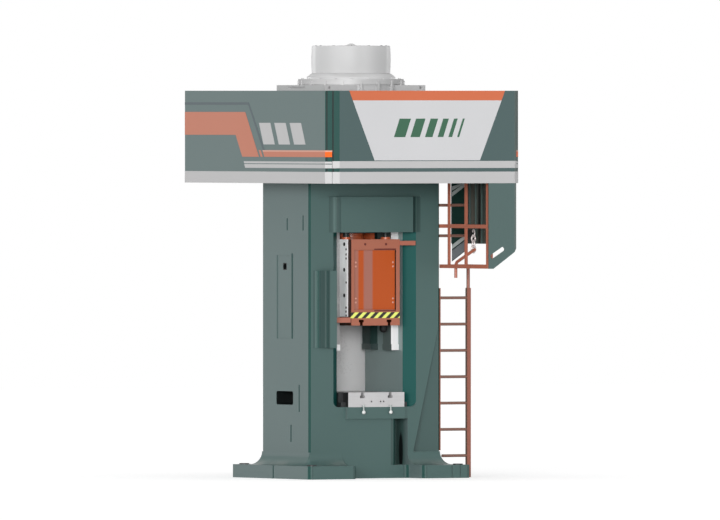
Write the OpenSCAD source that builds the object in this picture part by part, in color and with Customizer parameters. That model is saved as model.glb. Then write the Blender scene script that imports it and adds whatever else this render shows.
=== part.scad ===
// Electric screw press with service platform, ladder and landing cage.
// Millimetres, +Z up, front towards -Y. The origin is on the floor under the screw's axis.

/* [Frame] */
// Width of the frame across its columns
frame_w = 1736; // [1700:2:1800]
// Depth of the frame from front to rear
frame_d = 1050; // [1030:2:1080]
// Height of the frame's top face
frame_top = 4400; // [4360:2:4450]
// Flat on the frame's vertical corners
frame_corner = 22; // [10:1:35]

/* [Base] */
// Thickness of the base flange
base_t = 150; // [120:2:180]
// How far the flange reaches beyond the columns at each side
base_side = 207; // [190:1:230]
// How far the feet reach in front of and behind the frame
foot_reach = 343; // [320:1:370]
// Space between the left and right feet
foot_gap = 874; // [840:2:900]
// Corner radius of the feet
foot_r = 55; // [30:1:70]
// Radius of the fillet where the columns meet the flange
base_fillet = 150; // [120:1:160]
// Distance of the anchor holes from the flange's left and right edges
anchor_in_x = 105; // [95:1:115]
// Distance of the anchor holes from the flange's front and rear edges
anchor_in_y = 118; // [105:1:130]
// Radius of an anchor hole
anchor_r = 21; // [16:0.5:26]
// Radius of an anchor washer
washer_r = 57; // [50:1:62]
// Thickness of an anchor washer
washer_t = 12; // [8:1:16]

/* [Window] */
// Width of the window at its front edge
win_w = 1098; // [1080:2:1120]
// Width of the window between the column walls
win_inner_w = 874; // [860:2:900]
// Height of the bed, where the window starts
bed_h = 812; // [790:1:840]
// Height of the window's top edge
win_top = 2799; // [2780:1:2830]
// Radius of the window's lower corners
win_r = 68; // [40:1:80]
// Width of the ledge under the bolster
ledge_w = 772; // [760:2:790]
// Height of the ledge
ledge_h = 134; // [110:1:150]
// How far the ledge and the bolster stand in front of the frame
ledge_out = 35; // [20:1:50]

/* [Frame details] */
// Height of the raised header above the window
header_h = 403; // [360:1:440]
// Width of the header's flat face
header_w = 956; // [900:2:1000]
// How far the header stands out
header_out = 54; // [40:1:70]
// Width of the hollow ramp beside the header
header_ramp = 130; // [110:1:150]
// Lower end of the raised pad on the left column
pad_z = 1488; // [1400:2:1560]
// Length of the raised pad
pad_h = 878; // [820:2:940]
// Rise of each of the pad's two steps
pad_rise = 40; // [25:1:50]
// Width of the pad's outer ramp
pad_ramp = 76; // [60:1:85]
// Width of the strip between the pad's ramps
pad_strip = 46; // [36:1:56]
// Width of the pad's inner flat
pad_flat = 107; // [90:1:115]
// Width of the upright recess beside the right leg
recess_w = 133; // [110:1:150]
// Depth of the upright recess
recess_d = 250; // [180:2:300]
// Radius of the rounded edge beside the recess
recess_r = 90; // [60:1:100]
// Depth of the right leg's slanted hollow
hollow_d = 90; // [60:1:110]
// Width of the right leg's slanted hollow at its foot
hollow_w = 355; // [320:1:380]
// Height of the right leg's slanted hollow
hollow_h = 1516; // [1400:2:1600]

/* [Bolster] */
// Width of the bolster plate
bolster_w = 744; // [730:2:756]
// Thickness of the bolster plate
bolster_t = 167; // [150:1:180]
// Distance from the screw's axis to each T-slot
slot_x = 184; // [170:1:195]
// Width of a T-slot's neck
neck_w = 36; // [28:1:42]
// Width of a T-slot's head
head_w = 64; // [54:1:70]
// Depth of a T-slot's neck
neck_h = 36; // [28:1:40]
// Height of a T-slot's head
head_h = 30; // [24:1:34]

/* [Slide] */
// Width of the slide
slide_w = 652; // [640:2:664]
// How far the slide stands in front of the frame
slide_out = 10; // [0:1:20]
// Distance of the slide's rear face from the frame's rear face
slide_rear_gap = 25; // [20:1:45]
// Height of the slide with its bottom plate
slide_h = 980; // [960:1:1000]
// Space between the bolster and the raised slide
daylight = 760; // [740:1:780]
// Thickness of the slide's bottom plate
tee_plate_t = 76; // [70:1:84]
// Thickness of the slide's side liners
liner_t = 15; // [12:1:20]
// Width of a side liner
liner_w = 338; // [320:1:350]
// How far the slide's liners stand behind the frame's front face
liner_in = 47; // [35:1:60]
// How far the guide rails stand behind the frame's front face
rail_in = 207; // [195:1:225]
// Width of a guide rail
rail_w = 178; // [160:1:190]
// Running gap between a liner and its rail
guide_gap = 0.3; // [0.3:0.1:0.6]
// Height of the guide rail's foot above the bolster
rail_foot = 543; // [520:1:570]
// Height of the stop block at a rail's foot
stop_h = 68; // [50:1:80]
// Depth of the recess in the slide's front
panel_d = 25; // [18:1:30]
// Width of the recess in the slide's front
panel_w = 552; // [520:2:570]
// Height of the recess in the slide's front
panel_h = 684; // [640:2:700]
// Distance from the recess to the slide's top
panel_top = 120; // [100:1:130]
// Height of the striped band
hazard_h = 74; // [60:1:80]

/* [Screw] */
// Radius of the main screw
screw_r = 120; // [112:1:124]
// Radius of the screw's journal
journal_r = 150; // [144:0.5:154]
// Radius of the thrust collar
collar_r = 235; // [225:1:240]
// Radius of the bronze nut
nut_r = 190; // [180:1:200]
// Radius of the ring on top of the nut
nut_ring_r = 151; // [148:0.5:156]
// Running gap between a shaft and its hole
shaft_gap = 0.05; // [0.02:0.01:0.1]
// Clearance round the screw's thread and loose shafts
free_gap = 1; // [0.5:0.1:2]
// Travel of the slide
travel = 600; // [560:5:610]

/* [Motor] */
// Width of the pedestal plate
pedestal_w = 1340; // [1300:2:1380]
// Depth of the pedestal plate
pedestal_d = 1060; // [1040:2:1080]
// Thickness of the pedestal plate
pedestal_t = 74; // [60:1:80]
// Radius of the ribs round the pedestal
rib_ring_r = 614; // [605:1:625]
// Number of ribs round the pedestal
rib_count = 18; // [12:1:24]
// Thickness of a rib
rib_t = 26; // [18:1:30]
// Height of a rib above the frame's top
rib_h = 126; // [115:1:135]
// Radius of the round flange
flange_r = 602; // [595:1:608]
// Radius of the base ring's rim
rim_r = 505; // [490:1:515]
// Radius of the stator housing at its ends
housing_r = 446; // [438:1:450]
// Extra radius of the housing at mid height
housing_crown = 7; // [4:0.5:10]
// Height of the stator housing
housing_h = 306; // [290:1:315]
// Wall of the stator housing
housing_wall = 28; // [22:1:34]
// Radius of the rotor
rotor_r = 335; // [325:1:340]
// Radius of the cap on the top cover
cap_r = 46; // [36:1:60]

/* [Platform] */
// Width of the platform over its panels
plat_w = 2556; // [2520:2:2600]
// Depth of the platform over its panels
plat_d = 3360; // [3300:2:3420]
// Height of the panels' lower edge
plat_z = 3360; // [3330:1:3380]
// Height of the panels
panel_z = 1050; // [1020:1:1080]
// Length of each folded corner along the sides
corner_leg = 120; // [100:2:140]
// Thickness of the panels
sheet_t = 10; // [6:0.5:12]
// Gap at each corner seam
seam = 4; // [2:0.5:6]
// Height of the platform beams
beam_h = 118; // [100:1:125]
// Width of the platform beams
beam_w = 60; // [50:1:70]
// Thickness of the floor plates
floor_t = 12; // [8:1:16]
// Length of the floor hatch over the cage
hatch_l = 620; // [560:2:680]
// Width of the floor left outside the hatch
hatch_edge = 50; // [40:1:60]

/* [Stripes] */
// Thickness of the coloured skins
skin_t = 2; // [1:0.5:3]
// Height of the pale strip at the panels' foot
strip_h = 132; // [120:1:145]
// Height of the pale bands above the panels' foot
band_z = 173; // [165:1:180]
// Height of the front pale band
band_h = 80; // [60:1:86]
// Height of the orange band over the front sign
cap_h = 110; // [90:1:120]
// Half the width of the front sign at the top edge
sign_top = 1031; // [1000:1:1050]
// Half the width of the front sign at its lower edge
sign_low = 697; // [660:1:720]
// Height of the side stripe's narrow run above the panels' foot
run_z = 299; // [290:1:310]
// Height of the side stripe's narrow run
run_h = 76; // [60:1:84]
// Height of the side stripe's wide part above the panels' foot
wide_z = 547; // [530:1:560]
// Height of the side stripe's wide part
wide_h = 261; // [240:1:280]

/* [Ladder and cage] */
// Width of the ladder's outer stile
stile_w = 50; // [40:1:56]
// Depth of the ladder's outer stile
stile_d = 40; // [36:1:50]
// How far the ladder stands behind the frame's front face
ladder_in = 15; // [5:1:25]
// Height where the thick stile ends
stile_top = 2160; // [2130:1:2200]
// Radius of the rungs
rung_r = 17; // [14:0.5:20]
// Height of the lowest rung
rung_z = 248; // [230:1:270]
// Distance between rungs
rung_pitch = 300; // [280:1:310]
// Height of the cage's bottom rail
cage_z = 2388; // [2340:1:2420]
// Width of the cage's posts
post_w = 26; // [22:1:34]
// Height of the cage's rails
rail_h = 42; // [34:1:50]
// Height of the cage's middle rail above its bottom rail
mid_rail = 458; // [420:1:500]
// Distance of the cage's front posts behind the platform's front panel
cage_front_gap = 150; // [140:1:170]
// Distance between the cage rungs
cage_pitch = 348; // [330:1:360]
// Height of the side shield
side_shield_h = 695; // [640:1:740]

/* [Hidden] */
$fn = 72;

green = [0.28, 0.40, 0.39];
orange = [0.80, 0.38, 0.24];
silver = [0.82, 0.82, 0.83];
pale = [0.78, 0.77, 0.77];
dark = [0.10, 0.11, 0.12];
bronze = [0.72, 0.52, 0.25];
steel = [0.55, 0.57, 0.60];
bite = 1;

// Frame
win_chamfer = (win_w - win_inner_w) / 2;
base_w = frame_w + 2 * base_side;
base_d = frame_d + 2 * foot_reach;
anchor_x = base_w - 2 * anchor_in_x;
anchor_y = base_d - 2 * anchor_in_y;
front_y = -frame_d / 2;
groove_w = 26;
groove_depth = 20;
// Y, lower end and upper end of each upright groove in the left wall
narrow_grooves = [[-36, 2821, 2958], [-388, 2821, 2992], [-302, 758, 1066], [-120, 416, 610]];
wide_groove = [-148, 1590, 2559, 36, 26];
shallow_field = [50, 1590, 2537, 288, 8];
header_groove = [10, 12];
base_notch = [-86, -60, 30];
foot_notch_x = [822, 932];
foot_notch = [12, 12];
port_y = [-167, 205];
port_z = [838, 992];
port_r = 25;
port_depth = 220;
eye_y = 28;
eye_z = 2411;
eye_r = 35;

// Slide and screw
bolster_top = bed_h + bolster_t;
slide_z = bolster_top + daylight;
slide_top = slide_z + slide_h;
slide_front = front_y - slide_out;
slide_rear = frame_d / 2 - slide_rear_gap;
liner_y = frame_d / 2 - liner_in;
rail_y = frame_d / 2 - rail_in;
body_z = slide_z + tee_plate_t;
nut_ring_top = slide_top + 76;
nut_len = 359;
nut_z = slide_top - nut_len;
screw_end = slide_z + 51;
rod_r = 35;
rod_x = 262;
rod_y = 330;
rod_hole_r = rod_r + 3;
rod_spare = 110;
rod_top = win_top + travel + rod_spare;
lug_in = nut_ring_r + 14;
lug_w = 58;
lug_y = [-150, 60];
lug_h = 66;
rod_foot_h = 24;
hazard_t = 3;
ejector_r = 40;
ejector_lift = 100;
ejector_end = 640;
cylinder_z = 300;
cylinder_wall = 18;
well_r = ejector_r + cylinder_wall + 2;

// Crown
cover_flange_t = 12;
cover_r = 290;
pocket_r = 250;
pocket_h = 201;
bush_h = 400;
pocket_top = win_top + pocket_h;
bush_top = pocket_top + bush_h;
crown_bore_r = 170;
bearing_t = 40;
collar_z = win_top + 41;

// Motor
flange_z = frame_top + rib_h - 45;
flange_top = frame_top + rib_h + 17;
rim_top = flange_top + 45;
housing_z = rim_top + 23;
housing_top = housing_z + housing_h;
rotor_z = housing_z + 40;
rotor_h = 230;
rotor_bore = 100;
pocket_y = [-97, 280];
pocket_z = [34, 54];
pocket_depth = 30;
lift_hole = [66, 44, 16, 40];
rib_foot = 5;

// Platform
floor_z = plat_z + 12 + beam_h;
beam_z = plat_z + 12;
inner_w = plat_w - 2 * sheet_t;
inner_d = plat_d - 2 * sheet_t;
near_x = frame_w / 2;
far_x = inner_w / 2;
cage_x = near_x + 22;
ladder_y = frame_d / 2 - ladder_in;
hatch_w = far_x - near_x - beam_w - hatch_edge;
hatch_gap = 70;
rung_in = 4;
wall_bar = [10, 12, 26];
stile_x = plat_w / 2 - stile_w;
post_x = plat_w / 2 - 50;
shield_left = near_x - 52;
shield_w = plat_w / 2 - shield_left;
shield_flat = 62;
// Place along the shield, height above its foot, length, width and tilt of the hand slot
shield_slot = [shield_w / 4, 182, shield_w * 0.44, 50, 31];
shield_past_ladder = 400;
shield_rear_y = ladder_y - shield_past_ladder;
cage_front = plat_d / 2 - cage_front_gap;
shield_front_gap = 40;
cage_gap = 180;
cage_bay = 370;
cage_rear_y = ladder_y + cage_gap;
cage_mid_y = cage_rear_y + cage_bay;
box_size = [60, 90, 140];
box_z = 300;
shield_drop = 228;
shield_rib = 14;
rib_pitch = 130;
rib_lead = 20;

function rib_y(i) = -shield_rear_y - rib_lead - i * rib_pitch;

// Helpers

module slab(lo, hi) { translate(lo) cube([hi[0] - lo[0], hi[1] - lo[1], hi[2] - lo[2]]); }

module ring(r_in, r_out, z0, z1) {
    translate([0, 0, z0]) rotate_extrude() translate([r_in, 0]) square([r_out - r_in, z1 - z0]);
}

module both_x() { children(); mirror([1, 0, 0]) children(); }
module both_y() { children(); mirror([0, 1, 0]) children(); }
module four() { both_x() both_y() children(); }

// Area between two square edges and a hollow arc of radius r
module cove(r) {
    difference() {
        square(r);
        translate([r, r]) circle(r);
    }
}

// Area under a hollow arc that starts level and climbs by rise over run
module ramp(run, rise) {
    arc_r = (run * run + rise * rise) / (2 * rise);
    difference() {
        square([run, rise]);
        translate([0, arc_r]) circle(arc_r, $fn = 200);
    }
}

module chamfered(w, d, c) {
    polygon([
        [-w / 2 + c, -d / 2], [w / 2 - c, -d / 2], [w / 2, -d / 2 + c], [w / 2, d / 2 - c],
        [w / 2 - c, d / 2], [-w / 2 + c, d / 2], [-w / 2, d / 2 - c], [-w / 2, -d / 2 + c]
    ]);
}

module rounded(w, d, r) {
    square([w - 2 * r, d], center = true);
    square([w, d - 2 * r], center = true);
    four() translate([w / 2 - r, d / 2 - r]) circle(r);
}

// Draws an outline of X and Z as a body that reaches from y0 to y1
module through_y(y0, y1) { translate([0, y1, 0]) rotate([90, 0, 0]) linear_extrude(y1 - y0) children(); }

// Frame casting

module base_plan() {
    half = foot_gap / 2;
    difference() {
        rounded(base_w, base_d, foot_r);
        both_y() translate([0, frame_d / 2]) {
            difference() {
                translate([-half, 0]) square([foot_gap, foot_reach + bite]);
                both_x() translate([-half, 0]) cove(foot_r);
            }
            both_x() translate([half, foot_reach]) mirror([0, 1]) cove(foot_r);
        }
    }
}

module base_fillets() {
    leg = (frame_w - foot_gap) / 2;
    both_x() {
        translate([frame_w / 2, frame_d / 2, base_t])
            rotate([90, 0, 0]) linear_extrude(frame_d) cove(base_fillet);
        both_y() {
            translate([foot_gap / 2, frame_d / 2, base_t])
                rotate([90, 0, 90]) linear_extrude(leg) cove(base_fillet);
            translate([frame_w / 2, frame_d / 2, base_t])
                rotate_extrude(angle = 90) cove(base_fillet);
        }
    }
}

module window_cut() {
    half = win_w / 2;
    inner = win_inner_w / 2;
    deep = frame_d / 2;
    over = 200;
    intersection() {
        translate([0, 0, bed_h]) linear_extrude(win_top - bed_h) polygon([
            [-half, -deep - over], [half, -deep - over], [half, -deep], [inner, -deep + win_chamfer],
            [inner, deep - win_chamfer], [half, deep], [half, deep + over], [-half, deep + over],
            [-half, deep], [-inner, deep - win_chamfer], [-inner, -deep + win_chamfer], [-half, -deep]
        ]);
        through_y(-deep - over, deep + over) difference() {
            translate([-half, bed_h]) square([win_w, win_top - bed_h]);
            both_x() translate([-half, bed_h]) cove(win_r);
        }
    }
}

// Outline of the header seen from above, flush with the front face at y = 0
module header_plan() {
    square_left = header_w / 2;
    translate([-square_left, -header_out]) square([header_w, header_out + bite]);
    both_x() translate([-square_left - header_ramp, 0]) mirror([0, 1]) ramp(header_ramp, header_out);
    translate([-square_left - header_ramp, 0]) square([header_w + 2 * header_ramp, bite]);
}

// Outline of the left column's stepped pad seen from above, measured from the window's edge
module pad_plan() {
    step_x = -pad_flat - pad_ramp / 2;
    strip_x = step_x - pad_strip;
    start_x = strip_x - pad_ramp;
    translate([-pad_flat, -2 * pad_rise]) square([pad_flat, 2 * pad_rise + bite]);
    translate([step_x, 0]) mirror([0, 1]) translate([0, pad_rise]) ramp(pad_ramp / 2, pad_rise);
    translate([strip_x, -pad_rise]) square([pad_strip + pad_ramp / 2, pad_rise + bite]);
    translate([start_x, 0]) mirror([0, 1]) ramp(pad_ramp, pad_rise);
    translate([start_x, 0]) square([pad_ramp, bite]);
}

// Upright recess between the bed and the right leg, with its rounded left edge
module leg_recess() {
    right = foot_gap / 2;
    left = right - recess_w;
    top = bed_h - ledge_h;
    translate([0, front_y, base_t]) linear_extrude(top - base_t) {
        translate([left, -bite]) square([recess_w, recess_d + bite]);
        translate([left, 0]) mirror([1, 0]) cove(recess_r);
    }
}

// Slanted hollow in the right leg, deepest along its slanted edge
module leg_hollow() {
    right = frame_w / 2;
    foot = base_t + base_fillet;
    intersection() {
        through_y(front_y - bite, front_y + hollow_d) polygon([
            [right - hollow_w, foot], [right + bite, foot], [right + bite, foot + hollow_h]
        ]);
        linear_extrude(foot + hollow_h) polygon([
            [right + bite, front_y], [right + bite, front_y - bite],
            [right - hollow_w, front_y - bite], [right - hollow_w, front_y + hollow_d]
        ]);
    }
}

// Grooves, port and round eye of the left wall
module wall_groove(y, z0, z1, w = groove_w, depth = groove_depth) {
    slab([-frame_w / 2 - bite, y - w / 2, z0], [-frame_w / 2 + depth, y + w / 2, z1]);
}

module side_cuts() {
    for (g = narrow_grooves) wall_groove(g[0], g[1], g[2]);
    for (g = [wide_groove, shallow_field]) wall_groove(g[0], g[1], g[2], g[3], g[4]);
    both_x() {
        translate([-frame_w / 2 - bite, (port_y[0] + port_y[1]) / 2, (port_z[0] + port_z[1]) / 2])
            rotate([0, 90, 0]) linear_extrude(port_depth)
                rounded(port_z[1] - port_z[0], port_y[1] - port_y[0], port_r);
        translate([-frame_w / 2 - bite, eye_y, eye_z]) rotate([0, 90, 0]) cylinder(r = eye_r, h = port_depth);
    }
}

module crown_bores() {
    translate([0, 0, win_top - bite]) cylinder(r = pocket_r, h = pocket_top - win_top + bite);
    translate([0, 0, win_top]) cylinder(r = nut_r, h = bush_top - win_top);
    translate([0, 0, win_top]) cylinder(r = crown_bore_r, h = frame_top - win_top + bite);
    both_x() translate([rod_x, -rod_y, win_top - bite]) cylinder(r = rod_hole_r, h = rod_top - win_top + 30);
}

module frame_casting() {
    color(green) difference() {
        union() {
            difference() {
                linear_extrude(frame_top) chamfered(frame_w, frame_d, frame_corner);
                leg_hollow();
            }
            linear_extrude(base_t) base_plan();
            base_fillets();
            translate([0, front_y, win_top]) linear_extrude(header_h) header_plan();
            translate([-win_w / 2, front_y, pad_z]) linear_extrude(pad_h) pad_plan();
            slab([-ledge_w / 2, front_y - ledge_out, bed_h - ledge_h], [ledge_w / 2, front_y + bite, bed_h]);
        }
        window_cut();
        leg_recess();
        side_cuts();
        crown_bores();
        slab([-header_w / 2 - header_ramp, front_y - bite, win_top + header_h],
             [header_w / 2 + header_ramp, front_y + header_groove[0], win_top + header_h + header_groove[1]]);
        translate([0, 0, cylinder_z]) cylinder(r = well_r, h = bed_h - cylinder_z + bite);
        four() translate([anchor_x / 2, anchor_y / 2, -bite]) cylinder(r = anchor_r, h = base_t + 2 * bite);
        both_x() slab([-base_w / 2 - bite, base_notch[0], -bite],
                      [-base_w / 2 + base_notch[2], base_notch[1], base_t + bite]);
        for (x = foot_notch_x)
            slab([x - foot_notch[0] / 2, -base_d / 2 - bite, -bite],
                 [x + foot_notch[0] / 2, -base_d / 2 + foot_notch[1], base_t + bite]);
    }
}

module anchor_washers() {
    color(dark) four() translate([anchor_x / 2, anchor_y / 2, 0])
        ring(anchor_r + 2, washer_r, base_t, base_t + washer_t);
}

module rear_guard_sheet() {
    edge = 46;
    color(pale) slab([-win_w / 2 - edge, frame_d / 2, bed_h - edge],
                     [win_w / 2 + edge, frame_d / 2 + 6, win_top + edge]);
}

// Guides

rail_x = slide_w / 2 + liner_t + guide_gap;
rail_z = bolster_top + rail_foot;

module guide_rail() {
    color(silver) slab([rail_x, -rail_y, rail_z], [win_inner_w / 2, -rail_y + rail_w, win_top]);
}

module guide_rail_front_right() { guide_rail(); }
module guide_rail_front_left() { mirror([1, 0, 0]) guide_rail(); }
module guide_rail_rear_right() { mirror([0, 1, 0]) guide_rail(); }
module guide_rail_rear_left() { mirror([1, 0, 0]) mirror([0, 1, 0]) guide_rail(); }

module guide_stops() {
    wider = 12;
    color(silver) four() slab([rail_x, -rail_y - wider, rail_z - stop_h],
                              [win_inner_w / 2, -rail_y + rail_w + wider, rail_z]);
}

// Bolster and ejector

// Outline of a T-slot whose mouth is at z = 0 and whose head lies below it
module tee_slot() {
    translate([-neck_w / 2, -neck_h]) square([neck_w, neck_h + bite]);
    translate([-head_w / 2, -neck_h - head_h]) square([head_w, head_h]);
}

bolster_front = front_y - ledge_out;
bolster_rear = frame_d / 2 - 20;
tapped_x = [-62, 60, 98];
tapped_z = 62;
tapped_r = 11;
tapped_depth = 60;
clamp_drop = 60;
pad_lip_h = 55;
pad_in = 30;

module bolster_plate() {
    color(silver) difference() {
        slab([-bolster_w / 2, bolster_front, bed_h], [bolster_w / 2, bolster_rear, bolster_top]);
        both_x() through_y(bolster_front - bite, bolster_rear + bite)
            translate([slot_x, bolster_top]) tee_slot();
        translate([0, 0, bed_h - bite]) cylinder(r = ejector_r + free_gap, h = bolster_t + 2 * bite);
        for (x = tapped_x) translate([x, bolster_front - bite, bed_h + tapped_z])
            rotate([-90, 0, 0]) cylinder(r = tapped_r, h = tapped_depth);
    }
}

module bolster_clamps() {
    stem_r = 13;
    ball_r = 26;
    color("white") both_x() translate([slot_x - 4, bolster_front - stem_r, 0]) {
        translate([0, 0, bed_h - clamp_drop]) cylinder(r = stem_r, h = clamp_drop + 40);
        translate([0, stem_r - ball_r, bed_h - clamp_drop]) sphere(ball_r);
    }
}

module bolster_side_pads() {
    color(dark) both_x() {
        slab([bolster_w / 2, -liner_y + pad_in, bed_h], [win_inner_w / 2, liner_y - pad_in, bolster_top - 4]);
        slab([bolster_w / 2, -liner_y - pad_in, bed_h],
             [win_inner_w / 2, -liner_y + pad_in, bed_h + pad_lip_h]);
    }
}

module ejector_cylinder() {
    color(steel) difference() {
        translate([0, 0, cylinder_z]) cylinder(r = well_r - 0.3, h = bed_h - cylinder_z - 20);
        translate([0, 0, cylinder_z + 30]) cylinder(r = ejector_r + free_gap, h = bed_h);
    }
}

module ejector_pin() {
    color(steel) translate([0, 0, ejector_end]) cylinder(r = ejector_r, h = bolster_top - 1 - ejector_end);
}

// Crown parts

module rod_seals() {
    color(dark) both_x() translate([rod_x, -rod_y, 0])
        ring(rod_r + free_gap, rod_r + 22, win_top - 10, win_top);
}

module bearing_cover() {
    color(steel) rotate_extrude() polygon([
        [nut_ring_r + 9, win_top - cover_flange_t], [cover_r, win_top - cover_flange_t], [cover_r, win_top],
        [pocket_r - 0.3, win_top], [pocket_r - 0.3, win_top + 36], [screw_r + 6, win_top + 36],
        [screw_r + 6, win_top + 8], [nut_ring_r + 9, win_top + 8]
    ]);
}

module thrust_bearing() {
    color(bronze) ring(journal_r + 6, pocket_r - 4, pocket_top - bearing_t, pocket_top);
}

module screw_bush() {
    color(bronze) ring(journal_r + shaft_gap, nut_r - 0.3, pocket_top + 0.3, bush_top);
}

// Motor

module motor_pedestal() {
    rib_in = flange_r - 32;
    color(silver) difference() {
        union() {
            slab([-pedestal_w / 2, -pedestal_d / 2, frame_top],
                 [pedestal_w / 2, pedestal_d / 2, frame_top + pedestal_t]);
            translate([0, 0, frame_top]) cylinder(r = flange_r - 22, h = flange_z - frame_top + bite);
            translate([0, 0, flange_z]) cylinder(r = flange_r, h = flange_top - flange_z);
            for (i = [0 : rib_count - 1]) rotate([0, 0, (i + 0.5) * 360 / rib_count])
                slab([rib_in, -rib_t / 2, frame_top + rib_foot], [rib_ring_r, rib_t / 2, frame_top + rib_h]);
        }
        translate([0, 0, frame_top - bite]) cylinder(r = crown_bore_r, h = rib_h + 60);
        both_x() slab([-pedestal_w / 2 - bite, pocket_y[0], frame_top + pocket_z[0]],
                      [-pedestal_w / 2 + pocket_depth, pocket_y[1], frame_top + pocket_z[1]]);
        both_x() translate([pedestal_w / 2 - lift_hole[0], -pedestal_d / 2 - bite, frame_top + lift_hole[1]])
            rotate([-90, 0, 0]) cylinder(r = lift_hole[2], h = lift_hole[3]);
    }
}

module motor_base_ring() {
    color(silver) rotate_extrude() polygon([
        [crown_bore_r, flange_top], [rim_r, flange_top], [rim_r, flange_top + 20], [rim_r - 10, rim_top - 14],
        [housing_r + 16, housing_z - 12], [housing_r - 4, housing_z], [crown_bore_r, housing_z]
    ]);
}

// Barrel outline of the housing: ends at housing_r, middle at housing_r + housing_crown
module barrel(r_end, crown, h) {
    arc_r = (h * h / 4 + crown * crown) / (2 * crown);
    intersection() {
        translate([0, -h / 2]) square([r_end + crown + bite, h]);
        translate([r_end + crown - arc_r, 0]) circle(arc_r, $fn = 360);
    }
}

module stator_housing() {
    color(silver) difference() {
        translate([0, 0, housing_z + housing_h / 2]) rotate_extrude($fn = 144)
            barrel(housing_r, housing_crown, housing_h);
        translate([0, 0, housing_z + 29]) cylinder(r = housing_r - housing_wall, h = housing_h);
        translate([0, 0, housing_z - bite]) cylinder(r = housing_r - housing_wall - 10, h = housing_h);
    }
}

module stator_core() {
    color(bronze) ring(rotor_r + 8, housing_r - housing_wall - 0.3, housing_z + 29, housing_z + 29 + rotor_h);
}

module motor_top_cover() {
    color(silver) rotate_extrude() polygon([
        [0, housing_top], [housing_r - 4, housing_top], [housing_r - 8, housing_top + 6],
        [cap_r + 30, housing_top + 9], [cap_r, housing_top + 14], [cap_r - 4, housing_top + 22],
        [cap_r / 2, housing_top + 26], [cap_r / 3, housing_top + 32], [0, housing_top + 32]
    ]);
}

// Screw and rotor

module main_screw() {
    color(steel) {
        translate([0, 0, screw_end]) cylinder(r = screw_r, h = collar_z - screw_end + bite);
        translate([0, 0, collar_z]) cylinder(r = collar_r, h = pocket_top - bearing_t - 0.3 - collar_z);
        translate([0, 0, collar_z]) cylinder(r = journal_r, h = bush_top - collar_z);
        translate([0, 0, collar_z]) cylinder(r = screw_r, h = rotor_z - collar_z);
        translate([0, 0, collar_z]) cylinder(r = rotor_bore - 0.3, h = rotor_z + rotor_h + 8 - collar_z);
    }
}

module rotor() {
    color(steel) ring(rotor_bore, rotor_r, rotor_z, rotor_z + rotor_h);
}

// Slide

module slide_body() {
    hollow_top = panel_top + panel_h;
    notch = 14;
    notch_h = 8;
    color(orange) difference() {
        slab([-slide_w / 2, slide_front, body_z], [slide_w / 2, slide_rear, slide_top]);
        slab([-panel_w / 2, slide_front - bite, slide_top - hollow_top],
             [panel_w / 2, slide_front + panel_d, slide_top - panel_top]);
        translate([0, 0, nut_z]) cylinder(r = nut_r + 0.3, h = nut_len + bite);
        translate([0, 0, screw_end - 15]) cylinder(r = screw_r + 5, h = slide_h);
        both_x() for (y = [slide_front - bite, slide_rear - notch])
            slab([slide_w / 2 - notch, y, body_z - bite],
                 [slide_w / 2 + bite, y + notch + bite, body_z + notch_h]);
    }
}

module slide_cover_panel() {
    inset = 6;
    color(orange) slab(
        [-panel_w / 2 + inset, slide_front + panel_d - 8, slide_top - panel_top - panel_h + inset],
        [panel_w / 2 - inset, slide_front + panel_d, slide_top - panel_top - inset]);
}

module hazard_strip() {
    color("gold") slab([-slide_w / 2, slide_front - hazard_t, body_z + 8],
                       [slide_w / 2, slide_front, body_z + hazard_h]);
}

module slide_bottom_plate() {
    color(orange) difference() {
        slab([-slide_w / 2, slide_front, slide_z], [slide_w / 2, slide_rear, body_z]);
        both_x() through_y(slide_front - bite, slide_rear + bite)
            translate([slot_x, slide_z]) mirror([0, 1]) tee_slot();
        translate([0, 0, screw_end - 15]) cylinder(r = screw_r + 5, h = slide_h);
    }
}

module slide_liners() {
    foot = 25;
    color(silver) four() slab([slide_w / 2, -liner_y, body_z + foot],
                              [slide_w / 2 + liner_t, -liner_y + liner_w, slide_top]);
}

module slide_nut() {
    color(bronze) ring(screw_r + free_gap, nut_r, nut_z, slide_top);
}

module nut_ring() {
    groove = 5;
    low = slide_top;
    color(orange) rotate_extrude() polygon([
        [screw_r + free_gap, low], [nut_ring_r, low], [nut_ring_r, low + 12],
        [nut_ring_r - groove, low + 14], [nut_ring_r - groove, low + 50],
        [nut_ring_r, low + 52], [nut_ring_r, nut_ring_top], [screw_r + free_gap, nut_ring_top]
    ]);
}

module slide_arm_left() {
    reach = 186;
    color(orange) slab([-slide_w / 2 - reach, slide_front, slide_z + 34],
                       [-slide_w / 2, slide_front + 26, slide_z + 93]);
}

module slide_arm_right() {
    reach = 204;
    color(orange) slab([slide_w / 2, slide_front - 10, slide_top - 69],
                       [slide_w / 2 + reach, slide_front + 13, slide_top - 19]);
}

module balance_lugs() {
    color(orange) both_x() {
        slab([lug_in, lug_y[0], slide_top], [lug_in + lug_w, lug_y[1], slide_top + lug_h]);
        translate([rod_x, -rod_y, slide_top]) cylinder(r = rod_r + 20, h = rod_foot_h);
    }
}

module balance_rods() {
    foot = slide_top + rod_foot_h;
    color(steel) both_x() translate([rod_x, -rod_y, foot]) cylinder(r = rod_r, h = rod_top - foot);
}

// Platform

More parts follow.
